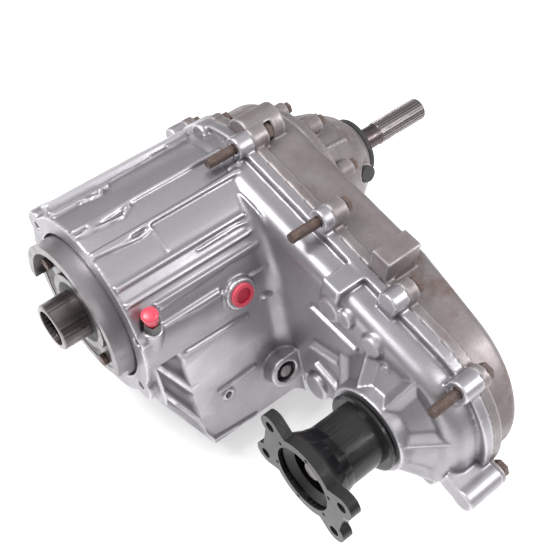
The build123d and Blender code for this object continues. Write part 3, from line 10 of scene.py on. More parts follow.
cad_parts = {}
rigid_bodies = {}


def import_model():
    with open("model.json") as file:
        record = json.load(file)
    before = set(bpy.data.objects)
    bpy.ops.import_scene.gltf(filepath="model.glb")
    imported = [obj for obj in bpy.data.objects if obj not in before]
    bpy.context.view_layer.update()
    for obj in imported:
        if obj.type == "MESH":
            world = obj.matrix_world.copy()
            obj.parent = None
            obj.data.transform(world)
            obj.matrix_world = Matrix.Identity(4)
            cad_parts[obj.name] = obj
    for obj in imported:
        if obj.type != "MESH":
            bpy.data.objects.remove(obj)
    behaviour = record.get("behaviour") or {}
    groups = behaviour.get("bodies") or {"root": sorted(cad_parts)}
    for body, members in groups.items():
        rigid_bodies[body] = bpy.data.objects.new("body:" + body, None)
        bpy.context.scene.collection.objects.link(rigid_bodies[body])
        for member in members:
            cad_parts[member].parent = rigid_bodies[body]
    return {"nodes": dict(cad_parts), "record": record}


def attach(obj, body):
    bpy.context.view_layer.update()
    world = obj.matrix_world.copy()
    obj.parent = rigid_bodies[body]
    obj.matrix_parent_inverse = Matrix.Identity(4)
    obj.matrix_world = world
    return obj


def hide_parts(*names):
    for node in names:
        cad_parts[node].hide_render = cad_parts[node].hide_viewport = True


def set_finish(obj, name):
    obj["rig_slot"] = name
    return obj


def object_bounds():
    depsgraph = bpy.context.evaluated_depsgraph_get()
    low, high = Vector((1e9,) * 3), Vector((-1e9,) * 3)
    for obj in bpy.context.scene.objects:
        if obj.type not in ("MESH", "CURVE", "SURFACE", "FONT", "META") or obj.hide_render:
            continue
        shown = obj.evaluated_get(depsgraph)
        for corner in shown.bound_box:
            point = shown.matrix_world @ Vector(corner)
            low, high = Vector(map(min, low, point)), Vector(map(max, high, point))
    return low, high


bl_info = {
    "name": "Transfer Case",
    "version": (1, 0, 0),
    "blender": (4, 5, 0),
    "location": "View3D > Sidebar > Transfer Case",
    "description": "Cast housing details, stud threads, finishes and studio for a transfer case",
    "category": "Object",
}

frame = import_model()
CAD_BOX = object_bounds()
MM = 0.001

# The housing's own measures, in millimetres, as in the part's source
BARREL_R = 98.0
CHAIN_WALL_X = 156.0
REAR_WALL_X = 258.0
FRONT_AXIS_Y = -267.0
LEAN = radians(22.0)
WALL_TOP = (-98.0, 5.0)

WALL_OUT = Vector((0, -cos(LEAN), sin(LEAN)))
FORWARD = Vector((-1, 0, 0))
REARWARD = Vector((1, 0, 0))

# Ribs: half widths at the foot and the crest as shares of the width, and the reach into the wall
RIB_FOOT = 0.75
RIB_CREST = 0.3
RIB_SINK = 2.0

# Round pads: sides, extra radius at the foot, and the reach into the wall
PAD_SIDES = 32
PAD_FLARE = 1.5
PAD_SINK = 2.0

# Hollow fillets in front of the chain wall: full radius, reach into the walls, steps round the arc
COVE_R = 16.0
COVE_SUNK = 1.5
COVE_STEPS = 6

# Where they run: angles round the barrel, with the radius growing per degree, and depths down the wall
COVE_ANGLES = range(110, 179, 4)
COVE_LEAST_R = 2.0
COVE_GROWTH = 0.8
COVE_DEPTHS = (0.0, 45.0, 90.0, 134.0)

# Fine ribs along the barrel: points of (x, angle about the main axis), height, width
BARREL_LINES = [
    ([(1, 85.2), (64, 81.7), (165, 79.7)], 4.0, 2.6),
    ([(1, 85.2), (49, 87.5), (63, 83.1)], 3.0, 2.4),
    ([(1, 100.8), (77, 99.2), (168, 97.7)], 4.0, 2.6),
    ([(1, 100.8), (50, 103.5), (64, 101.4)], 3.0, 2.4),
    ([(64, 101.4), (64, 118.0)], 1.6, 2.0),
    ([(24, 57.5), (53, 62.8), (68, 53.0), (170, 49.5)], 3.0, 2.4),
    ([(90, 125.3), (135, 124.7), (165, 127.7)], 2.0, 2.2),
    ([(31, 142.0), (87, 140.6), (144, 140.0)], 2.4, 2.4),
    ([(29, 151.9), (68, 154.3), (145, 154.8), (162, 149.4)], 2.6, 2.6),
    ([(49, -170.5), (120, -173.0)], 5.0, 9.0),
    ([(138, 175.4), (182, 175.5)], 4.0, 7.0),
]

# Ribs on the leaning sector wall: from and to as (x, depth down the wall), height, width
WALL_LINES = [
    ((42.0, 6.0), (118.0, 9.0), 2.2, 5.0),
    ((64, 74.4), (112, 72.4), 3.5, 3.0),
    ((14, 60.0), (43, 127.0), 3.0, 4.0),
    ((42, 128.0), (100, 134.0), 3.0, 4.0),
]

# Round pads on the sector wall: x, depth, radius, height
WALL_PADS = [(73.8, 85.0, 6.5, 2.0)]

# The small hole in the sector wall: x, depth, radius, how deep it goes
WALL_HOLE = (73.8, 85.0, 3.8, 6.0)
WALL_HOLE_SIDES = 24

# Pockets between the gussets at the front of the sector wall: corners as (x, depth)
NOSE_POCKETS = [
    [(15.0, 1.0), (34.0, 1.0), (38.0, 9.0), (38.0, 48.0)],
    [(10.0, 2.0), (38.0, 58.0), (38.0, 95.0), (10.0, 33.0)],
    [(10.0, 43.0), (38.0, 104.0), (38.0, 122.0), (6.0, 62.0)],
]
NOSE_POCKET_DEEP = 16.0
NOSE_POCKET_SHALLOW = 3.0
CUTTER_PROUD = 6.0

# Struts on the front chain wall: from and to as (y, z), height, width
CHAIN_WALL_LINES = [
    ((-161, -13), (-224, 15), 9.0, 5.0),
    ((-170, -38), (-207, -41), 7.0, 5.0),
    ((-258, -27), (-277, 44), 9.0, 3.5),
    ((-150, 40), (-214, 44), 5.0, 4.0),
]

# Round pads on the front chain wall: y, z, radius, height
CHAIN_WALL_PADS = [
    (-174.5, 66.9, 13.0, 7.0),
    (-193, 71.0, 9.0, 5.0),
    (-228, 69.0, 11.0, 5.0),
    (-179, -75.0, 15.0, 7.0),
    (-250, 55.6, 6.0, 3.0),
]

# Gussets round the front output's snout: angles, x and radius at both ends, width, height, crest, sink
SNOUT_FACETS = [150.0, 100.0, 55.0, 10.0, -30.0, -75.0, -150.0]
SNOUT_FACET_ENDS = [(128.0, 43.0), (156.0, 76.0)]
SNOUT_FACET_W = 12.0
SNOUT_FACET_H = 0.5
SNOUT_FACET_CREST = 0.04
SNOUT_FACET_SINK = 12.0

# Ribs on the rear wall: from and to as (y, z), height, width
REAR_WALL_LINES = [
    ((-88, 40), (-205, 62), 5.0, 5.0),
    ((-90, -40), (-205, -62), 5.0, 5.0),
    ((-86, 0), (-188, 0), 5.0, 5.0),
]

# Ribs along the tail housing: angles, x and radius at both ends, width, height
TAIL_RIB_ANGLES = (20, 65, 110, 200, 245, 290, 335)
TAIL_RIB_ENDS = [(272, 70), (312, 59.5)]
TAIL_RIB_W = 4.0
TAIL_RIB_H = 3.0

# Cast skins: vertices closer than this are one, in metres, and the share of each smoothing step
WELD_GAP = 2e-6
SMOOTH_SHARE = 0.5

# The vent's cap: (share of the height, radius) from mouth to crown
HOOD_PROFILE = [(0.0, 6.0), (0.1, 6.4), (0.5, 7.2), (0.75, 8.3), (0.88, 8.2), (0.96, 6.6), (1.0, 3.5)]
HOOD_SIDES = 40
HOOD_TILT = radians(-9.0)

# Exposed stud threads: y, z, front end, rear end
STUDS = [(2.0, 109.0, 145.0, 177.0), (-115.0, 112.0, 150.0, 183.0), (-313.0, 86.0, 141.0, 172.0)]
THREAD_R = 4.85
THREAD_INSET = 1.0
THREAD_STEPS = 20
THREAD_SIDES = 4


# Shapes

def place(obj, body, slot_name):
    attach(obj, body)
    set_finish(obj, slot_name)
    return obj


def new_object(name, mesh):
    obj = bpy.data.objects.new(name, mesh)
    bpy.context.scene.collection.objects.link(obj)
    return obj


def mesh_from(bm, name):
    mesh = bpy.data.meshes.new(name)
    bm.to_mesh(mesh)
    bm.free()
    return mesh


def apply_modifiers(obj):
    graph = bpy.context.evaluated_depsgraph_get()
    mesh = bpy.data.meshes.new_from_object(obj.evaluated_get(graph))
    obj.modifiers.clear()
    obj.data = mesh


def radial(angle):
    """The way out from a shaft's axis, at an angle in degrees."""
    turn = radians(angle)
    return Vector((0, cos(turn), sin(turn)))


def facing(way):
    """The turn that lays a cone's axis along this way."""
    return Vector((0, 0, 1)).rotation_difference(way).to_matrix().to_4x4()


def on_barrel(x, angle):
    turn = radians(angle)
    return Vector((x, BARREL_R * cos(turn), BARREL_R * sin(turn)))


def on_wall(x, depth):
    return Vector((x, WALL_TOP[0] - depth * sin(LEAN), WALL_TOP[1] - depth * cos(LEAN)))


def bridge(bm, rings):
    """Faces from each ring to the next, and a cap at both ends."""
    for first, second in zip(rings, rings[1:]):
        for i in range(len(first)):
            j = (i + 1) % len(first)
            bm.faces.new((first[i], first[j], second[j], second[i]))
    bm.faces.new(rings[0][::-1])
    bm.faces.new(rings[-1])


def bar(bm, start, end, up, width, height, crest=RIB_CREST, sink=RIB_SINK):
    """A rib with a narrower crest between two points; up points out of the wall."""
    along = end - start
    side = along.cross(up).normalized()
    sunk = up * (-sink)
    rings = []
    for point in (start, end):
        ring = [
            point + sunk + side * width * RIB_FOOT,
            point + up * height + side * width * crest,
            point + up * height - side * width * crest,
            point + sunk - side * width * RIB_FOOT,
        ]
        rings.append([bm.verts.new(p * MM) for p in ring])
    bridge(bm, rings)


def pad(bm, centre, up, radius, height):
    """A round pad that tapers towards its face."""
    middle = (centre + up * (height / 2 - PAD_SINK / 2)) * MM
    bmesh.ops.create_cone(
        bm, cap_ends=True, segments=PAD_SIDES, radius1=(radius + PAD_FLARE) * MM, radius2=radius * MM,
        depth=(height + PAD_SINK) * MM, matrix=Matrix.Translation(middle) @ facing(up),
    )


def cove(bm, corners):
    """A hollow round fillet along a corner.

    Each corner is a point, the ways along its two walls, and a radius.
    """
    turns = [t * pi / 2 / COVE_STEPS for t in range(COVE_STEPS + 1)]
    rings = []
    for point, a, b, radius in corners:
        centre = point + (a + b) * radius
        arc = [centre - (a * sin(turn) + b * cos(turn)) * radius for turn in turns]
        foot_a = point + a * radius - b * COVE_SUNK
        foot_b = point + b * radius - a * COVE_SUNK
        ring = [point - (a + b) * COVE_SUNK, foot_a, *arc, foot_b]
        rings.append([bm.verts.new(p * MM) for p in ring])
    bridge(bm, rings)


def coves(bm):
    """The soft hollows where the barrel and the sector wall run into the chain wall."""
    corners = []
    for angle in COVE_ANGLES:
        radius = min(COVE_R, COVE_LEAST_R + (angle - COVE_ANGLES[0]) * COVE_GROWTH)
        corners.append((on_barrel(CHAIN_WALL_X, angle), FORWARD, radial(angle), radius))
    cove(bm, corners)
    cove(bm, [(on_wall(CHAIN_WALL_X, depth), FORWARD, WALL_OUT, COVE_R) for depth in COVE_DEPTHS])


def snout_facets(bm):
    """Three-sided gussets that run from the seal's rim out to the chain wall."""
    centre = Vector((0, FRONT_AXIS_Y, 0))
    for angle in SNOUT_FACETS:
        out = radial(angle)
        start, end = (centre + out * radius + Vector((x, 0, 0)) for x, radius in SNOUT_FACET_ENDS)
        bar(bm, start, end, out, SNOUT_FACET_W, SNOUT_FACET_H, SNOUT_FACET_CREST, SNOUT_FACET_SINK)


def barrel_details(bm):
    for points, height, width in BARREL_LINES:
        for (x0, a0), (x1, a1) in zip(points, points[1:]):
            bar(bm, on_barrel(x0, a0), on_barrel(x1, a1), radial((a0 + a1) / 2), width, height)


def wall_details(bm):
    for start, end, height, width in WALL_LINES:
        bar(bm, on_wall(*start), on_wall(*end), WALL_OUT, width, height)
    for x, depth, radius, height in WALL_PADS:
        pad(bm, on_wall(x, depth), WALL_OUT, radius, height)


def chain_wall_details(bm):
    for start, end, height, width in CHAIN_WALL_LINES:
        bar(bm, Vector((CHAIN_WALL_X, *start)), Vector((CHAIN_WALL_X, *end)), FORWARD, width, height)
    for y, z, radius, height in CHAIN_WALL_PADS:
        pad(bm, Vector((CHAIN_WALL_X, y, z)), FORWARD, radius, height)


def front_details(bm):
    coves(bm)
    snout_facets(bm)
    barrel_details(bm)
    wall_details(bm)
    chain_wall_details(bm)


def rear_details(bm):
    for start, end, height, width in REAR_WALL_LINES:
        bar(bm, Vector((REAR_WALL_X, *start)), Vector((REAR_WALL_X, *end)), REARWARD, width, height)


def tail_details(bm):
    for angle in TAIL_RIB_ANGLES:
        out = radial(angle)
        start, end = (Vector((x, 0, 0)) + out * radius for x, radius in TAIL_RIB_ENDS)
        bar(bm, start, end, out, TAIL_RIB_W, TAIL_RIB_H)


def pocket_block(bm, corners):
    """A block whose floor rises away from the mounting face."""
    near, far = min(x for x, _ in corners), max(x for x, _ in corners)
    top = [bm.verts.new((on_wall(x, depth) + WALL_OUT * CUTTER_PROUD) * MM) for x, depth in corners]
    low = []
    for x, depth in corners:
        share = (far - x) / (far - near)
        sink = NOSE_POCKET_SHALLOW + share * (NOSE_POCKET_DEEP - NOSE_POCKET_SHALLOW)
        low.append(bm.verts.new((on_wall(x, depth) - WALL_OUT * sink) * MM))
    bm.faces.new(top)
    bm.faces.new(low[::-1])
    for i in range(len(corners)):
        j = (i + 1) % len(corners)
        bm.faces.new((top[j], top[i], low[i], low[j]))


def front_cutter():
    """What is cut out of the front casting: the pockets of its nose and the small hole in its wall."""
    bm = bmesh.new()
    for corners in NOSE_POCKETS:
        pocket_block(bm, corners)
    x, depth, radius, sunk = WALL_HOLE
    bmesh.ops.create_cone(
        bm, cap_ends=True, segments=WALL_HOLE_SIDES, radius1=radius * MM, radius2=radius * MM,
        depth=2 * sunk * MM, matrix=Matrix.Translation(on_wall(x, depth) * MM) @ facing(WALL_OUT),
    )
    bmesh.ops.recalc_face_normals(bm, faces=bm.faces)
    return new_object("front_cutter", mesh_from(bm, "front_cutter"))


def merged_copy(node):
    bm = bmesh.new()
    bm.from_mesh(frame["nodes"][node].data)
    bmesh.ops.remove_doubles(bm, verts=bm.verts, dist=WELD_GAP)
    bmesh.ops.recalc_face_normals(bm, faces=bm.faces)
    return bm


def cast_skin(obj, settings, cutter):
    """Run the shape together with small round fillets, less what the cutter takes out."""
    remesh = obj.modifiers.new("Cast skin", "REMESH")
    remesh.mode = "VOXEL"
    remesh.voxel_size = settings.skin * MM
    if cutter:
        carve = obj.modifiers.new("Pockets", "BOOLEAN")
        carve.operation = "DIFFERENCE"
        carve.object = cutter
    smooth = obj.modifiers.new("Fillets", "SMOOTH")
    smooth.factor = SMOOTH_SHARE
    smooth.iterations = settings.smoothing
    apply_modifiers(obj)


def thin_out(obj, most):
    triangles = sum(len(p.vertices) - 2 for p in obj.data.polygons)
    if triangles > most:
        fewer = obj.modifiers.new("Fewer faces", "DECIMATE")
        fewer.ratio = most / triangles
        apply_modifiers(obj)


def casting(piece, node, details, settings, slot_name, make_cutter=None):
    """A cast shell in place of a node: the node's own shape with its details, as one skin."""
    bm = merged_copy(node)
    details(bm)
    obj = new_object(piece, mesh_from(bm, piece))
    cutter = make_cutter() if make_cutter else None
    cast_skin(obj, settings, cutter)
    if cutter:
        bpy.data.objects.remove(cutter)
    thin_out(obj, settings.most_triangles)
    obj.data.name = piece
    obj.data.shade_smooth()
    place(obj, "root", slot_name)
    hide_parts(node)


def middle_of(values):
    return (min(values) + max(values)) / 2


def vent_hood():
    """The soft shipping cap: narrow at its mouth, round at its crown and pushed on a little askew."""
    points = [v.co for v in frame["nodes"]["vent_cap"].data.vertices]
    low, high = min(p.z for p in points), max(p.z for p in points)
    centre = Vector((middle_of([p.x for p in points]), middle_of([p.y for p in points]), low))
    turns = [2 * pi * i / HOOD_SIDES for i in range(HOOD_SIDES)]
    bm = bmesh.new()
    rings = []
    for share, radius in HOOD_PROFILE:
        rise = share * (high - low)
        rings.append([bm.verts.new((radius * MM * cos(t), radius * MM * sin(t), rise)) for t in turns])
    bridge(bm, rings)
    mesh = mesh_from(bm, "vent_hood")
    mesh.transform(Matrix.Translation(centre) @ Matrix.Rotation(HOOD_TILT, 4, "Y"))
    hood = place(new_object("vent_hood", mesh), "root", "red_plastic")
    hood.data.shade_smooth()
    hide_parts("vent_cap")


# Node trees

class Wiring:
    """Short calls for building a node tree."""

    def __init__(self, tree):
        self.tree = tree

    def add(self, kind, values=None, **settings):
        node = self.tree.nodes.new(kind)
        for name, value in settings.items():
            setattr(node, name, value)
        for name, value in (values or {}).items():
            if isinstance(value, bpy.types.NodeSocket):
                self.tree.links.new(value, node.inputs[name])
            else:
                node.inputs[name].default_value = value
        return node

    def math(self, operation, a, b, clamp=False):
        return self.add("ShaderNodeMath", {0: a, 1: b}, operation=operation, use_clamp=clamp).outputs[0]

    def mix(self, share, a, b, blend="MIX"):
        node = self.add("ShaderNodeMixRGB", {0: share, 1: a, 2: b}, blend_type=blend)
        return node.outputs[0]

    def span(self, value, low, high, to_low=0.0, to_high=1.0):
        node = self.add("ShaderNodeMapRange", {0: value, 1: low, 2: high, 3: to_low, 4: to_high})
        return node.outputs[0]


# Geometry Nodes for the stud threads

def thread_tree():
    """A thread of the given size, laid backwards along x from each point."""
    tree = bpy.data.node_groups.new("Stud thread", "GeometryNodeTree")
    face = tree.interface
    face.new_socket(name="Geometry", in_out="INPUT", socket_type="NodeSocketGeometry")
    for name in ("Radius", "Length", "Pitch", "Depth"):
        face.new_socket(name=name, in_out="INPUT", socket_type="NodeSocketFloat")
    face.new_socket(name="Material", in_out="INPUT", socket_type="NodeSocketMaterial")
    face.new_socket(name="Geometry", in_out="OUTPUT", socket_type="NodeSocketGeometry")
    wires = Wiring(tree)
    given = wires.add("NodeGroupInput").outputs
    spiral = wires.add("GeometryNodeCurveSpiral", {
        "Resolution": THREAD_STEPS, "Rotations": wires.math("DIVIDE", given["Length"], given["Pitch"]),
        "Start Radius": given["Radius"], "End Radius": given["Radius"], "Height": given["Length"],
    })
    profile = wires.add("GeometryNodeCurvePrimitiveCircle", {
        "Resolution": THREAD_SIDES, "Radius": given["Depth"],
    })
    sweep = wires.add("GeometryNodeCurveToMesh", {
        "Curve": spiral.outputs["Curve"], "Profile Curve": profile.outputs["Curve"], "Fill Caps": True,
    })
    turned = wires.add("GeometryNodeTransform", {
        "Geometry": sweep.outputs["Mesh"], "Rotation": (0, pi / 2, 0),
    })
    placed = wires.add("GeometryNodeInstanceOnPoints", {
        "Points": given["Geometry"], "Instance": turned.outputs["Geometry"],
    })
    real = wires.add("GeometryNodeRealizeInstances", {"Geometry": placed.outputs["Instances"]})
    painted = wires.add("GeometryNodeSetMaterial", {
        "Geometry": real.outputs["Geometry"], "Material": given["Material"],
    })
    wires.add("NodeGroupOutput", {"Geometry": painted.outputs["Geometry"]})
    return tree


def set_inputs(modifier, tree, values):
    for item in tree.interface.items_tree:
        if item.item_type == "SOCKET" and item.in_out == "INPUT" and item.name in values:
            modifier[item.identifier] = values[item.name]


def stud_threads(settings, material):
    tree = thread_tree()
    for number, (y, z, front, rear) in enumerate(STUDS, 1):
        mesh = bpy.data.meshes.new(f"stud_thread_{number}")
        mesh.from_pydata([(front * MM + THREAD_INSET * MM, y * MM, z * MM)], [], [])
        obj = new_object(mesh.name, mesh)
        modifier = obj.modifiers.new("Thread", "NODES")
        modifier.node_group = tree
        set_inputs(modifier, tree, {
            "Radius": THREAD_R * MM, "Length": (rear - front - 2 * THREAD_INSET) * MM,
            "Pitch": settings.pitch * MM, "Depth": settings.depth * MM, "Material": material,
        })
        apply_modifiers(obj)
        place(obj, "root", "plated_bolt")


# Shader groups

# Pointiness above and below which a surface gets the painted edge highlight or the painted corner shade, and
# the width of both steps
EDGE_FROM = 0.505
CORNER_FROM = 0.495
EDGE_WIDTH = 0.05

# Noise level where a stain would start at no amount, how far the full amount lowers it, and its soft rim
STAIN_START = 0.75
STAIN_REACH = 0.4
STAIN_RIM = 0.14


def new_group(name, inputs, outputs):
    tree = bpy.data.node_groups.new(name, "ShaderNodeTree")
    for label, value in inputs:
        socket = tree.interface.new_socket(name=label, in_out="INPUT", socket_type="NodeSocketFloat")
        socket.default_value = value
    for label in outputs:
        tree.interface.new_socket(name=label, in_out="OUTPUT", socket_type="NodeSocketFloat")
    wires = Wiring(tree)
    return tree, wires, wires.add("NodeGroupInput"), wires.add("NodeGroupOutput")


def grain_group():
    """Fine sand grain and slow patches of tone."""
    inputs = [("Grain", 900.0), ("Patch", 30.0)]
    tree, wires, given, done = new_group("Sand grain", inputs, ["Height", "Tone"])
    where = wires.add("ShaderNodeTexCoord").outputs["Object"]
    fine = wires.add("ShaderNodeTexNoise", {"Vector": where, "Scale": given.outputs["Grain"], "Detail": 3.0})
    slow = wires.add("ShaderNodeTexNoise", {"Vector": where, "Scale": given.outputs["Patch"], "Detail": 5.0})
    tree.links.new(fine.outputs[0], done.inputs["Height"])
    tree.links.new(slow.outputs[0], done.inputs["Tone"])
    return tree


def edge_group():
    """Where an outer edge gets a painted highlight, and where an inner corner gets painted shade."""
    tree, wires, given, done = new_group("Edge and corner", [("Sharpness", 0.03)], ["Edge", "Corner"])
    point = wires.add("ShaderNodeNewGeometry").outputs["Pointiness"]
    high = wires.math("ADD", EDGE_FROM, given.outputs["Sharpness"])
    low = wires.math("SUBTRACT", CORNER_FROM, given.outputs["Sharpness"])
    tree.links.new(wires.span(point, EDGE_FROM, high), done.inputs["Edge"])
    tree.links.new(wires.span(point, CORNER_FROM, low), done.inputs["Corner"])
    return tree


def stain_group():
    """Blotches of rust, oil or water stain."""
    tree, wires, given, done = new_group("Stain", [("Size", 25.0), ("Amount", 0.4)], ["Mask"])
    where = wires.add("ShaderNodeTexCoord").outputs["Object"]
    noise = wires.add("ShaderNodeTexNoise", {"Vector": where, "Scale": given.outputs["Size"], "Detail": 9.0})
    noise.inputs["Roughness"].default_value = 0.65
    lowered = wires.math("MULTIPLY", given.outputs["Amount"], STAIN_REACH)
    start = wires.math("SUBTRACT", STAIN_START, lowered)
    end = wires.math("ADD", start, STAIN_RIM)
    tree.links.new(wires.span(noise.outputs[0], start, end), done.inputs["Mask"])
    return tree


# Colours of the base, the darker patches, the painted highlight on edges and the stains; amount and size of
# the stains;
# metal; roughness of the base and of the patches; scale and depth of the grain; share of painted edge
# highlight and of painted corner shade
Finish = namedtuple("Finish", "base dark edge stain amount size metal smooth rough grain depth rub dirt")

FINISHES = {
    "cast_front": Finish(
        (0.40, 0.385, 0.41), (0.35, 0.335, 0.36), (0.88, 0.86, 0.90), (0.22, 0.19, 0.175),
        0.10, 18.0, 0.85, 0.34, 0.46, 1100.0, 0.16, 0.65, 0.75,
    ),
    "cast_rear": Finish(
        (0.30, 0.27, 0.275), (0.21, 0.178, 0.178), (0.62, 0.59, 0.60), (0.15, 0.098, 0.080),
        0.48, 20.0, 0.70, 0.42, 0.60, 800.0, 0.28, 0.5, 0.75,
    ),
    "plated_bolt": Finish(
        (0.105, 0.072, 0.062), (0.045, 0.029, 0.025), (0.26, 0.195, 0.175), (0.10, 0.042, 0.026),
        0.50, 140.0, 0.65, 0.45, 0.65, 900.0, 0.35, 0.5, 0.8,
    ),
    "worn_iron": Finish(
        (0.085, 0.073, 0.075), (0.045, 0.038, 0.040), (0.42, 0.40, 0.42), (0.24, 0.21, 0.21),
        0.30, 60.0, 0.80, 0.30, 0.48, 700.0, 0.12, 0.6, 0.5,
    ),
    "machined_steel": Finish(
        (0.145, 0.120, 0.119), (0.070, 0.056, 0.055), (0.42, 0.385, 0.39), (0.07, 0.042, 0.037),
        0.45, 55.0, 0.90, 0.26, 0.42, 600.0, 0.10, 0.6, 0.6,
    ),
    "bearing_steel": Finish(
        (0.62, 0.62, 0.63), (0.5, 0.5, 0.51), (0.8, 0.8, 0.8), (0.3, 0.28, 0.25),
        0.1, 60.0, 1.0, 0.18, 0.3, 500.0, 0.04, 0.4, 0.3,
    ),
    "fork_bronze": Finish(
        (0.50, 0.38, 0.20), (0.36, 0.26, 0.13), (0.7, 0.58, 0.36), (0.2, 0.14, 0.08),
        0.2, 60.0, 0.9, 0.35, 0.5, 700.0, 0.15, 0.4, 0.4,
    ),
    "black_paint": Finish(
        (0.004, 0.0035, 0.0045), (0.002, 0.002, 0.0025), (0.09, 0.085, 0.085), (0.03, 0.024, 0.022),
        0.14, 70.0, 0.0, 0.13, 0.26, 350.0, 0.16, 0.25, 0.3,
    ),
    "seal_rubber": Finish(
        (0.016, 0.016, 0.017), (0.010, 0.010, 0.010), (0.06, 0.06, 0.06), (0.05, 0.045, 0.04),
        0.15, 90.0, 0.0, 0.50, 0.65, 900.0, 0.08, 0.3, 0.2,
    ),
    "red_plastic": Finish(
        (0.72, 0.035, 0.085), (0.60, 0.022, 0.06), (0.85, 0.20, 0.24), (0.35, 0.02, 0.04),
        0.1, 120.0, 0.0, 0.28, 0.40, 500.0, 0.04, 0.3, 0.4,
    ),
    "plain_plug": Finish(
        (0.30, 0.29, 0.285), (0.20, 0.19, 0.185), (0.55, 0.54, 0.53), (0.15, 0.11, 0.085),
        0.30, 120.0, 1.0, 0.22, 0.36, 600.0, 0.06, 0.5, 0.5,
    ),
    "pump_alloy": Finish(
        (0.5, 0.5, 0.5), (0.4, 0.4, 0.4), (0.7, 0.7, 0.7), (0.3, 0.28, 0.25),
        0.1, 40.0, 0.7, 0.4, 0.55, 900.0, 0.15, 0.4, 0.4,
    ),
    "sensor_plastic": Finish(
        (0.03, 0.03, 0.03), (0.02, 0.02, 0.02), (0.08, 0.08, 0.08), (0.08, 0.07, 0.06),
        0.2, 80.0, 0.0, 0.45, 0.6, 800.0, 0.06, 0.3, 0.3,
    ),
    "magnet_black": Finish(
        (0.08, 0.08, 0.085), (0.05, 0.05, 0.05), (0.2, 0.2, 0.2), (0.1, 0.08, 0.07),
        0.1, 60.0, 0.3, 0.5, 0.6, 900.0, 0.1, 0.3, 0.3,
    ),
}

PATCH_SCALE = 1.4
TONE_SPAN = (0.35, 0.65)
GRAIN_SPAN = (0.3, 0.7, 0.88, 1.08)
GRAIN_RELIEF = 0.0006
# Painted shade in inner corners: how dark they are painted, as a share of the darker patch colour
CORNER_SHADE_TONE = 0.35
STAIN_SHARE = 0.8
STAIN_ROUGHER = 0.15

# Shader inputs that only some finishes set
EXTRAS = {
    "red_plastic": {"Coat Weight": 0.3, "Coat Roughness": 0.2},
    "black_paint": {"Specular IOR Level": 0.3},
}


def group_node(wires, tree, values):
    node = wires.add("ShaderNodeGroup", node_tree=tree)
    for name, value in values.items():
        node.inputs[name].default_value = value
    return node


def solid(colour):
    return (*colour, 1.0)


def surface_colour(wires, finish, tone, sand, corner, spots):
    """Patches of tone under a fine grain, then painted shade in inner corners, stains and painted highlights
    on outer edges.
    """
    fine = wires.span(sand.outputs["Height"], *GRAIN_SPAN)
    # Painted shade: inner corners are darkened in the colour
    painted_shade = wires.math("MULTIPLY", corner.outputs["Corner"], finish.dirt)
    stained = wires.math("MULTIPLY", spots.outputs["Mask"], STAIN_SHARE)
    # Painted highlight: outer edges are lightened towards the bright edge colour
    painted_highlight = wires.math("MULTIPLY", corner.outputs["Edge"], finish.rub)
    colour = wires.mix(tone, solid(finish.dark), solid(finish.base))
    colour = wires.mix(1.0, colour, fine, "MULTIPLY")
    colour = wires.mix(painted_shade, colour, solid([c * CORNER_SHADE_TONE for c in finish.dark]))
    colour = wires.mix(stained, colour, solid(finish.stain))
    return wires.mix(painted_highlight, colour, solid(finish.edge))


def finish_material(slot_name, groups):
    """The material of one slot, from its row in FINISHES."""
    finish = FINISHES[slot_name]
    material = bpy.data.materials.new(slot_name)
    material.use_nodes = True
    material.node_tree.nodes.clear()
    wires = Wiring(material.node_tree)
    sand = group_node(wires, groups["grain"], {"Grain": finish.grain, "Patch": finish.size * PATCH_SCALE})
    corner = group_node(wires, groups["edge"], {"Sharpness": EDGE_WIDTH})
    spots = group_node(wires, groups["stain"], {"Size": finish.size, "Amount": finish.amount})
    tone = wires.span(sand.outputs["Tone"], *TONE_SPAN)
    roughness = wires.span(tone, 0.0, 1.0, finish.rough, finish.smooth)
    rougher = wires.math("MULTIPLY", spots.outputs["Mask"], STAIN_ROUGHER)
    bump = wires.add("ShaderNodeBump", {
        "Strength": finish.depth, "Distance": GRAIN_RELIEF, "Height": sand.outputs["Height"],
    })
    shader = wires.add("ShaderNodeBsdfPrincipled", {
        "Base Color": surface_colour(wires, finish, tone, sand, corner, spots),
        "Roughness": wires.math("ADD", roughness, rougher, True),
        "Metallic": finish.metal, "Normal": bump.outputs[0], **EXTRAS.get(slot_name, {}),
    })
    wires.add("ShaderNodeOutputMaterial", {"Surface": shader.outputs[0]})
    return material


def build_finishes():
    groups = {"grain": grain_group(), "edge": edge_group(), "stain": stain_group()}
    return {name: finish_material(name, groups) for name in FINISHES}


def paint(obj, material):
    obj.data.materials.clear()
    obj.data.materials.append(material)


# Settings

class CastingSettings(bpy.types.PropertyGroup):
    skin: FloatProperty(
        name="Skin", description="Voxel size of the cast skin in mm", default=1.5, min=0.8, max=4.0
    )
    smoothing: IntProperty(
        name="Fillets", description="Smoothing steps that round the corners", default=3, min=0
    )
    most_triangles: IntProperty(
        name="Most triangles", description="Faces kept on a casting", default=190000
    )


class ThreadSettings(bpy.types.PropertyGroup):
    pitch: FloatProperty(
        name="Pitch", description="Thread pitch in mm", default=2.0, min=0.5, max=4.0
    )
    depth: FloatProperty(
        name="Depth", description="Half depth of the thread in mm", default=0.8, min=0.1, max=2.0
    )


class StudioSettings(bpy.types.PropertyGroup):
    floor: FloatVectorProperty(
        name="Floor", description="Colour of the floor", default=(0.96, 0.96, 0.96), subtype="COLOR",
        min=0, max=1,
    )
    key: FloatProperty(
        name="Key light", description="Power of the key light", default=21.0, subtype="POWER", unit="POWER"
    )
    fill: FloatProperty(name="Sky", description="Strength of the surroundings", default=0.44, min=0.0)


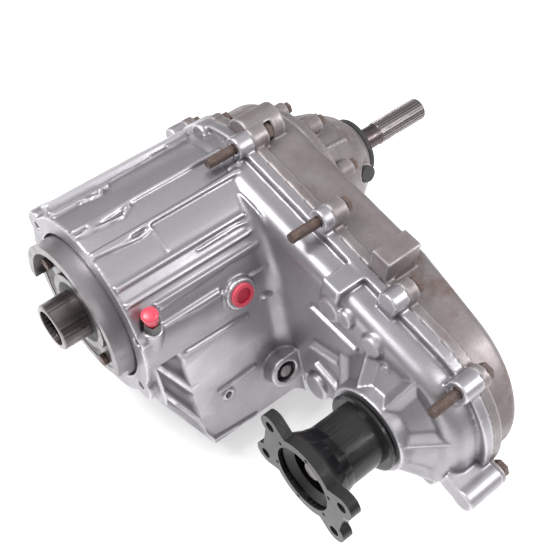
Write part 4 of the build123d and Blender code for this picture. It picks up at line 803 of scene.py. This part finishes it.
class TRANSFER_OT_castings(bpy.types.Operator):
    """Build the cast shells with their ribs, pads and fillets"""
    bl_idname = "transfer_case.castings"
    bl_label = "Castings"

    def execute(self, context):
        settings = context.scene.transfer_castings
        casting("front_casting", "front_case", front_details, settings, "cast_front", front_cutter)
        casting("rear_casting", "rear_case", rear_details, settings, "cast_rear")
        casting("tail_casting", "tail_housing", tail_details, settings, "cast_rear")
        return {"FINISHED"}


class TRANSFER_OT_cap(bpy.types.Operator):
    """Put the soft red cap on the vent"""
    bl_idname = "transfer_case.cap"
    bl_label = "Vent cap"

    def execute(self, context):
        vent_hood()
        return {"FINISHED"}


class TRANSFER_OT_finishes(bpy.types.Operator):
    """Give every piece the finish of its material slot"""
    bl_idname = "transfer_case.finishes"
    bl_label = "Finishes"

    def execute(self, context):
        finishes = build_finishes()
        for part in frame["record"]["subparts"]:
            paint(frame["nodes"][part["node"]], finishes[part["material_slot"]])
        for obj in context.scene.objects:
            if obj.type == "MESH" and "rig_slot" in obj:
                paint(obj, finishes[obj["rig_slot"]])
        return {"FINISHED"}


class TRANSFER_OT_threads(bpy.types.Operator):
    """Cut the thread on the studs that stand out in front of the joint"""
    bl_idname = "transfer_case.threads"
    bl_label = "Stud threads"

    def execute(self, context):
        bolt_finish = frame["nodes"]["case_bolts"].data.materials[0]
        stud_threads(context.scene.transfer_threads, bolt_finish)
        return {"FINISHED"}


class TRANSFER_OT_stage(bpy.types.Operator):
    """Set the floor, the lights and the camera"""
    bl_idname = "transfer_case.stage"
    bl_label = "Stage"

    def execute(self, context):
        settings = context.scene.transfer_studio
        make_floor(settings)
        make_lights(settings)
        make_camera()
        return {"FINISHED"}


class TRANSFER_PT_panel(bpy.types.Panel):
    """Transfer case tools"""
    bl_label = "Transfer Case"
    bl_idname = "TRANSFER_PT_panel"
    bl_space_type = "VIEW_3D"
    bl_region_type = "UI"
    bl_category = "Transfer Case"

    def draw(self, context):
        layout = self.layout
        for name in ("castings", "cap", "threads", "finishes", "stage"):
            layout.operator(f"transfer_case.{name}")
        for group, names in (
            ("transfer_castings", ("skin", "smoothing", "most_triangles")),
            ("transfer_threads", ("pitch", "depth")), ("transfer_studio", ("floor", "key", "fill")),
        ):
            for name in names:
                layout.prop(getattr(context.scene, group), name)


# Stage

FLOOR_HALF = 60.0
FLOOR_GAP = 0.001
FLOOR_ROUGHNESS = 0.9
FLOOR_GLOW = 0.35
WHITE = (1.0, 1.0, 1.0, 1.0)
MIDDLE = (0.2, -0.1, 0.0)

# Area lights: name, place, size, share of the key light's power
LIGHTS = [
    ("key", (-0.5, 0.6, 1.3), 0.8, 1.0),
    ("side", (0.9, -0.9, 0.9), 0.6, 0.5),
]

# The sky grows brighter between these heights, from one share of its strength to another
SKY_HEIGHTS = (-0.1, 0.95)
SKY_SHARES = (0.2, 2.0)

# The camera as it was solved from the photo, in metres and pixels
CAMERA_AT = Vector((-0.2449, -0.4929, 0.8307))
CAMERA_RIGHT = Vector((0.7656, -0.6391, 0.0716))
CAMERA_UP = Vector((0.4960, 0.6577, 0.5669))
CAMERA_BACK = Vector((-0.4095, -0.3985, 0.8206))
FOCAL_LENGTH = 1000.0
IMAGE_WIDTH = 560.0
SENSOR_WIDTH = 36.0
CLIP_START = 0.01


def make_floor(settings):
    bm = bmesh.new()
    bmesh.ops.create_grid(bm, x_segments=1, y_segments=1, size=FLOOR_HALF)
    mesh = mesh_from(bm, "floor")
    mesh.transform(Matrix.Translation((*MIDDLE[:2], CAD_BOX[0][2] - FLOOR_GAP)))
    floor = new_object("floor", mesh)
    material = bpy.data.materials.new("floor_paper")
    material.use_nodes = True
    shader = material.node_tree.nodes["Principled BSDF"]
    shader.inputs["Base Color"].default_value = solid(settings.floor)
    shader.inputs["Roughness"].default_value = FLOOR_ROUGHNESS
    shader.inputs["Emission Color"].default_value = WHITE
    shader.inputs["Emission Strength"].default_value = FLOOR_GLOW
    floor.data.materials.append(material)


def area_light(name, place_at, size, power):
    data = bpy.data.lights.new(name, "AREA")
    data.shape = "DISK"
    data.size = size
    data.energy = power
    lamp = new_object(name, data)
    lamp.location = place_at
    lamp.rotation_euler = (Vector(MIDDLE) - Vector(place_at)).to_track_quat("-Z", "Y").to_euler()


def make_lights(settings):
    """A sky that brightens towards the top and shows plain white to the camera, and the lamps."""
    world = bpy.data.worlds.new("studio")
    bpy.context.scene.world = world
    world.use_nodes = True
    wires = Wiring(world.node_tree)
    sky = world.node_tree.nodes["Background"]
    sky.inputs["Color"].default_value = WHITE
    way = wires.add("ShaderNodeTexCoord").outputs["Generated"]
    height = wires.add("ShaderNodeSeparateXYZ", {"Vector": way}).outputs["Z"]
    strength = wires.span(height, *SKY_HEIGHTS, *(settings.fill * share for share in SKY_SHARES))
    seen = wires.add("ShaderNodeLightPath").outputs["Is Camera Ray"]
    strength = wires.math("MAXIMUM", strength, seen)
    world.node_tree.links.new(strength, sky.inputs["Strength"])
    for name, place_at, size, share in LIGHTS:
        area_light(name, place_at, size, settings.key * share)


def make_camera():
    data = bpy.data.cameras.new("camera")
    data.sensor_width = SENSOR_WIDTH
    data.sensor_fit = "HORIZONTAL"
    data.lens = FOCAL_LENGTH / IMAGE_WIDTH * SENSOR_WIDTH
    data.clip_start = CLIP_START
    camera = new_object("camera", data)
    ways = (CAMERA_RIGHT, CAMERA_UP, CAMERA_BACK)
    turn = Matrix([way.normalized() for way in ways]).transposed()
    camera.matrix_world = Matrix.Translation(CAMERA_AT) @ turn.to_4x4()
    bpy.context.scene.camera = camera
    bpy.context.scene.view_settings.view_transform = "Standard"


CLASSES = (
    CastingSettings, ThreadSettings, StudioSettings,
    TRANSFER_OT_castings, TRANSFER_OT_cap, TRANSFER_OT_finishes, TRANSFER_OT_threads, TRANSFER_OT_stage,
    TRANSFER_PT_panel,
)


def register():
    for cls in CLASSES:
        bpy.utils.register_class(cls)
    bpy.types.Scene.transfer_castings = PointerProperty(type=CastingSettings)
    bpy.types.Scene.transfer_threads = PointerProperty(type=ThreadSettings)
    bpy.types.Scene.transfer_studio = PointerProperty(type=StudioSettings)


def unregister():
    del bpy.types.Scene.transfer_castings
    del bpy.types.Scene.transfer_threads
    del bpy.types.Scene.transfer_studio
    for cls in reversed(CLASSES):
        bpy.utils.unregister_class(cls)


def main():
    register()
    bpy.ops.transfer_case.castings()
    bpy.ops.transfer_case.cap()
    bpy.ops.transfer_case.finishes()
    bpy.ops.transfer_case.threads()
    bpy.ops.transfer_case.stage()


if __name__ == "__main__":
    main()
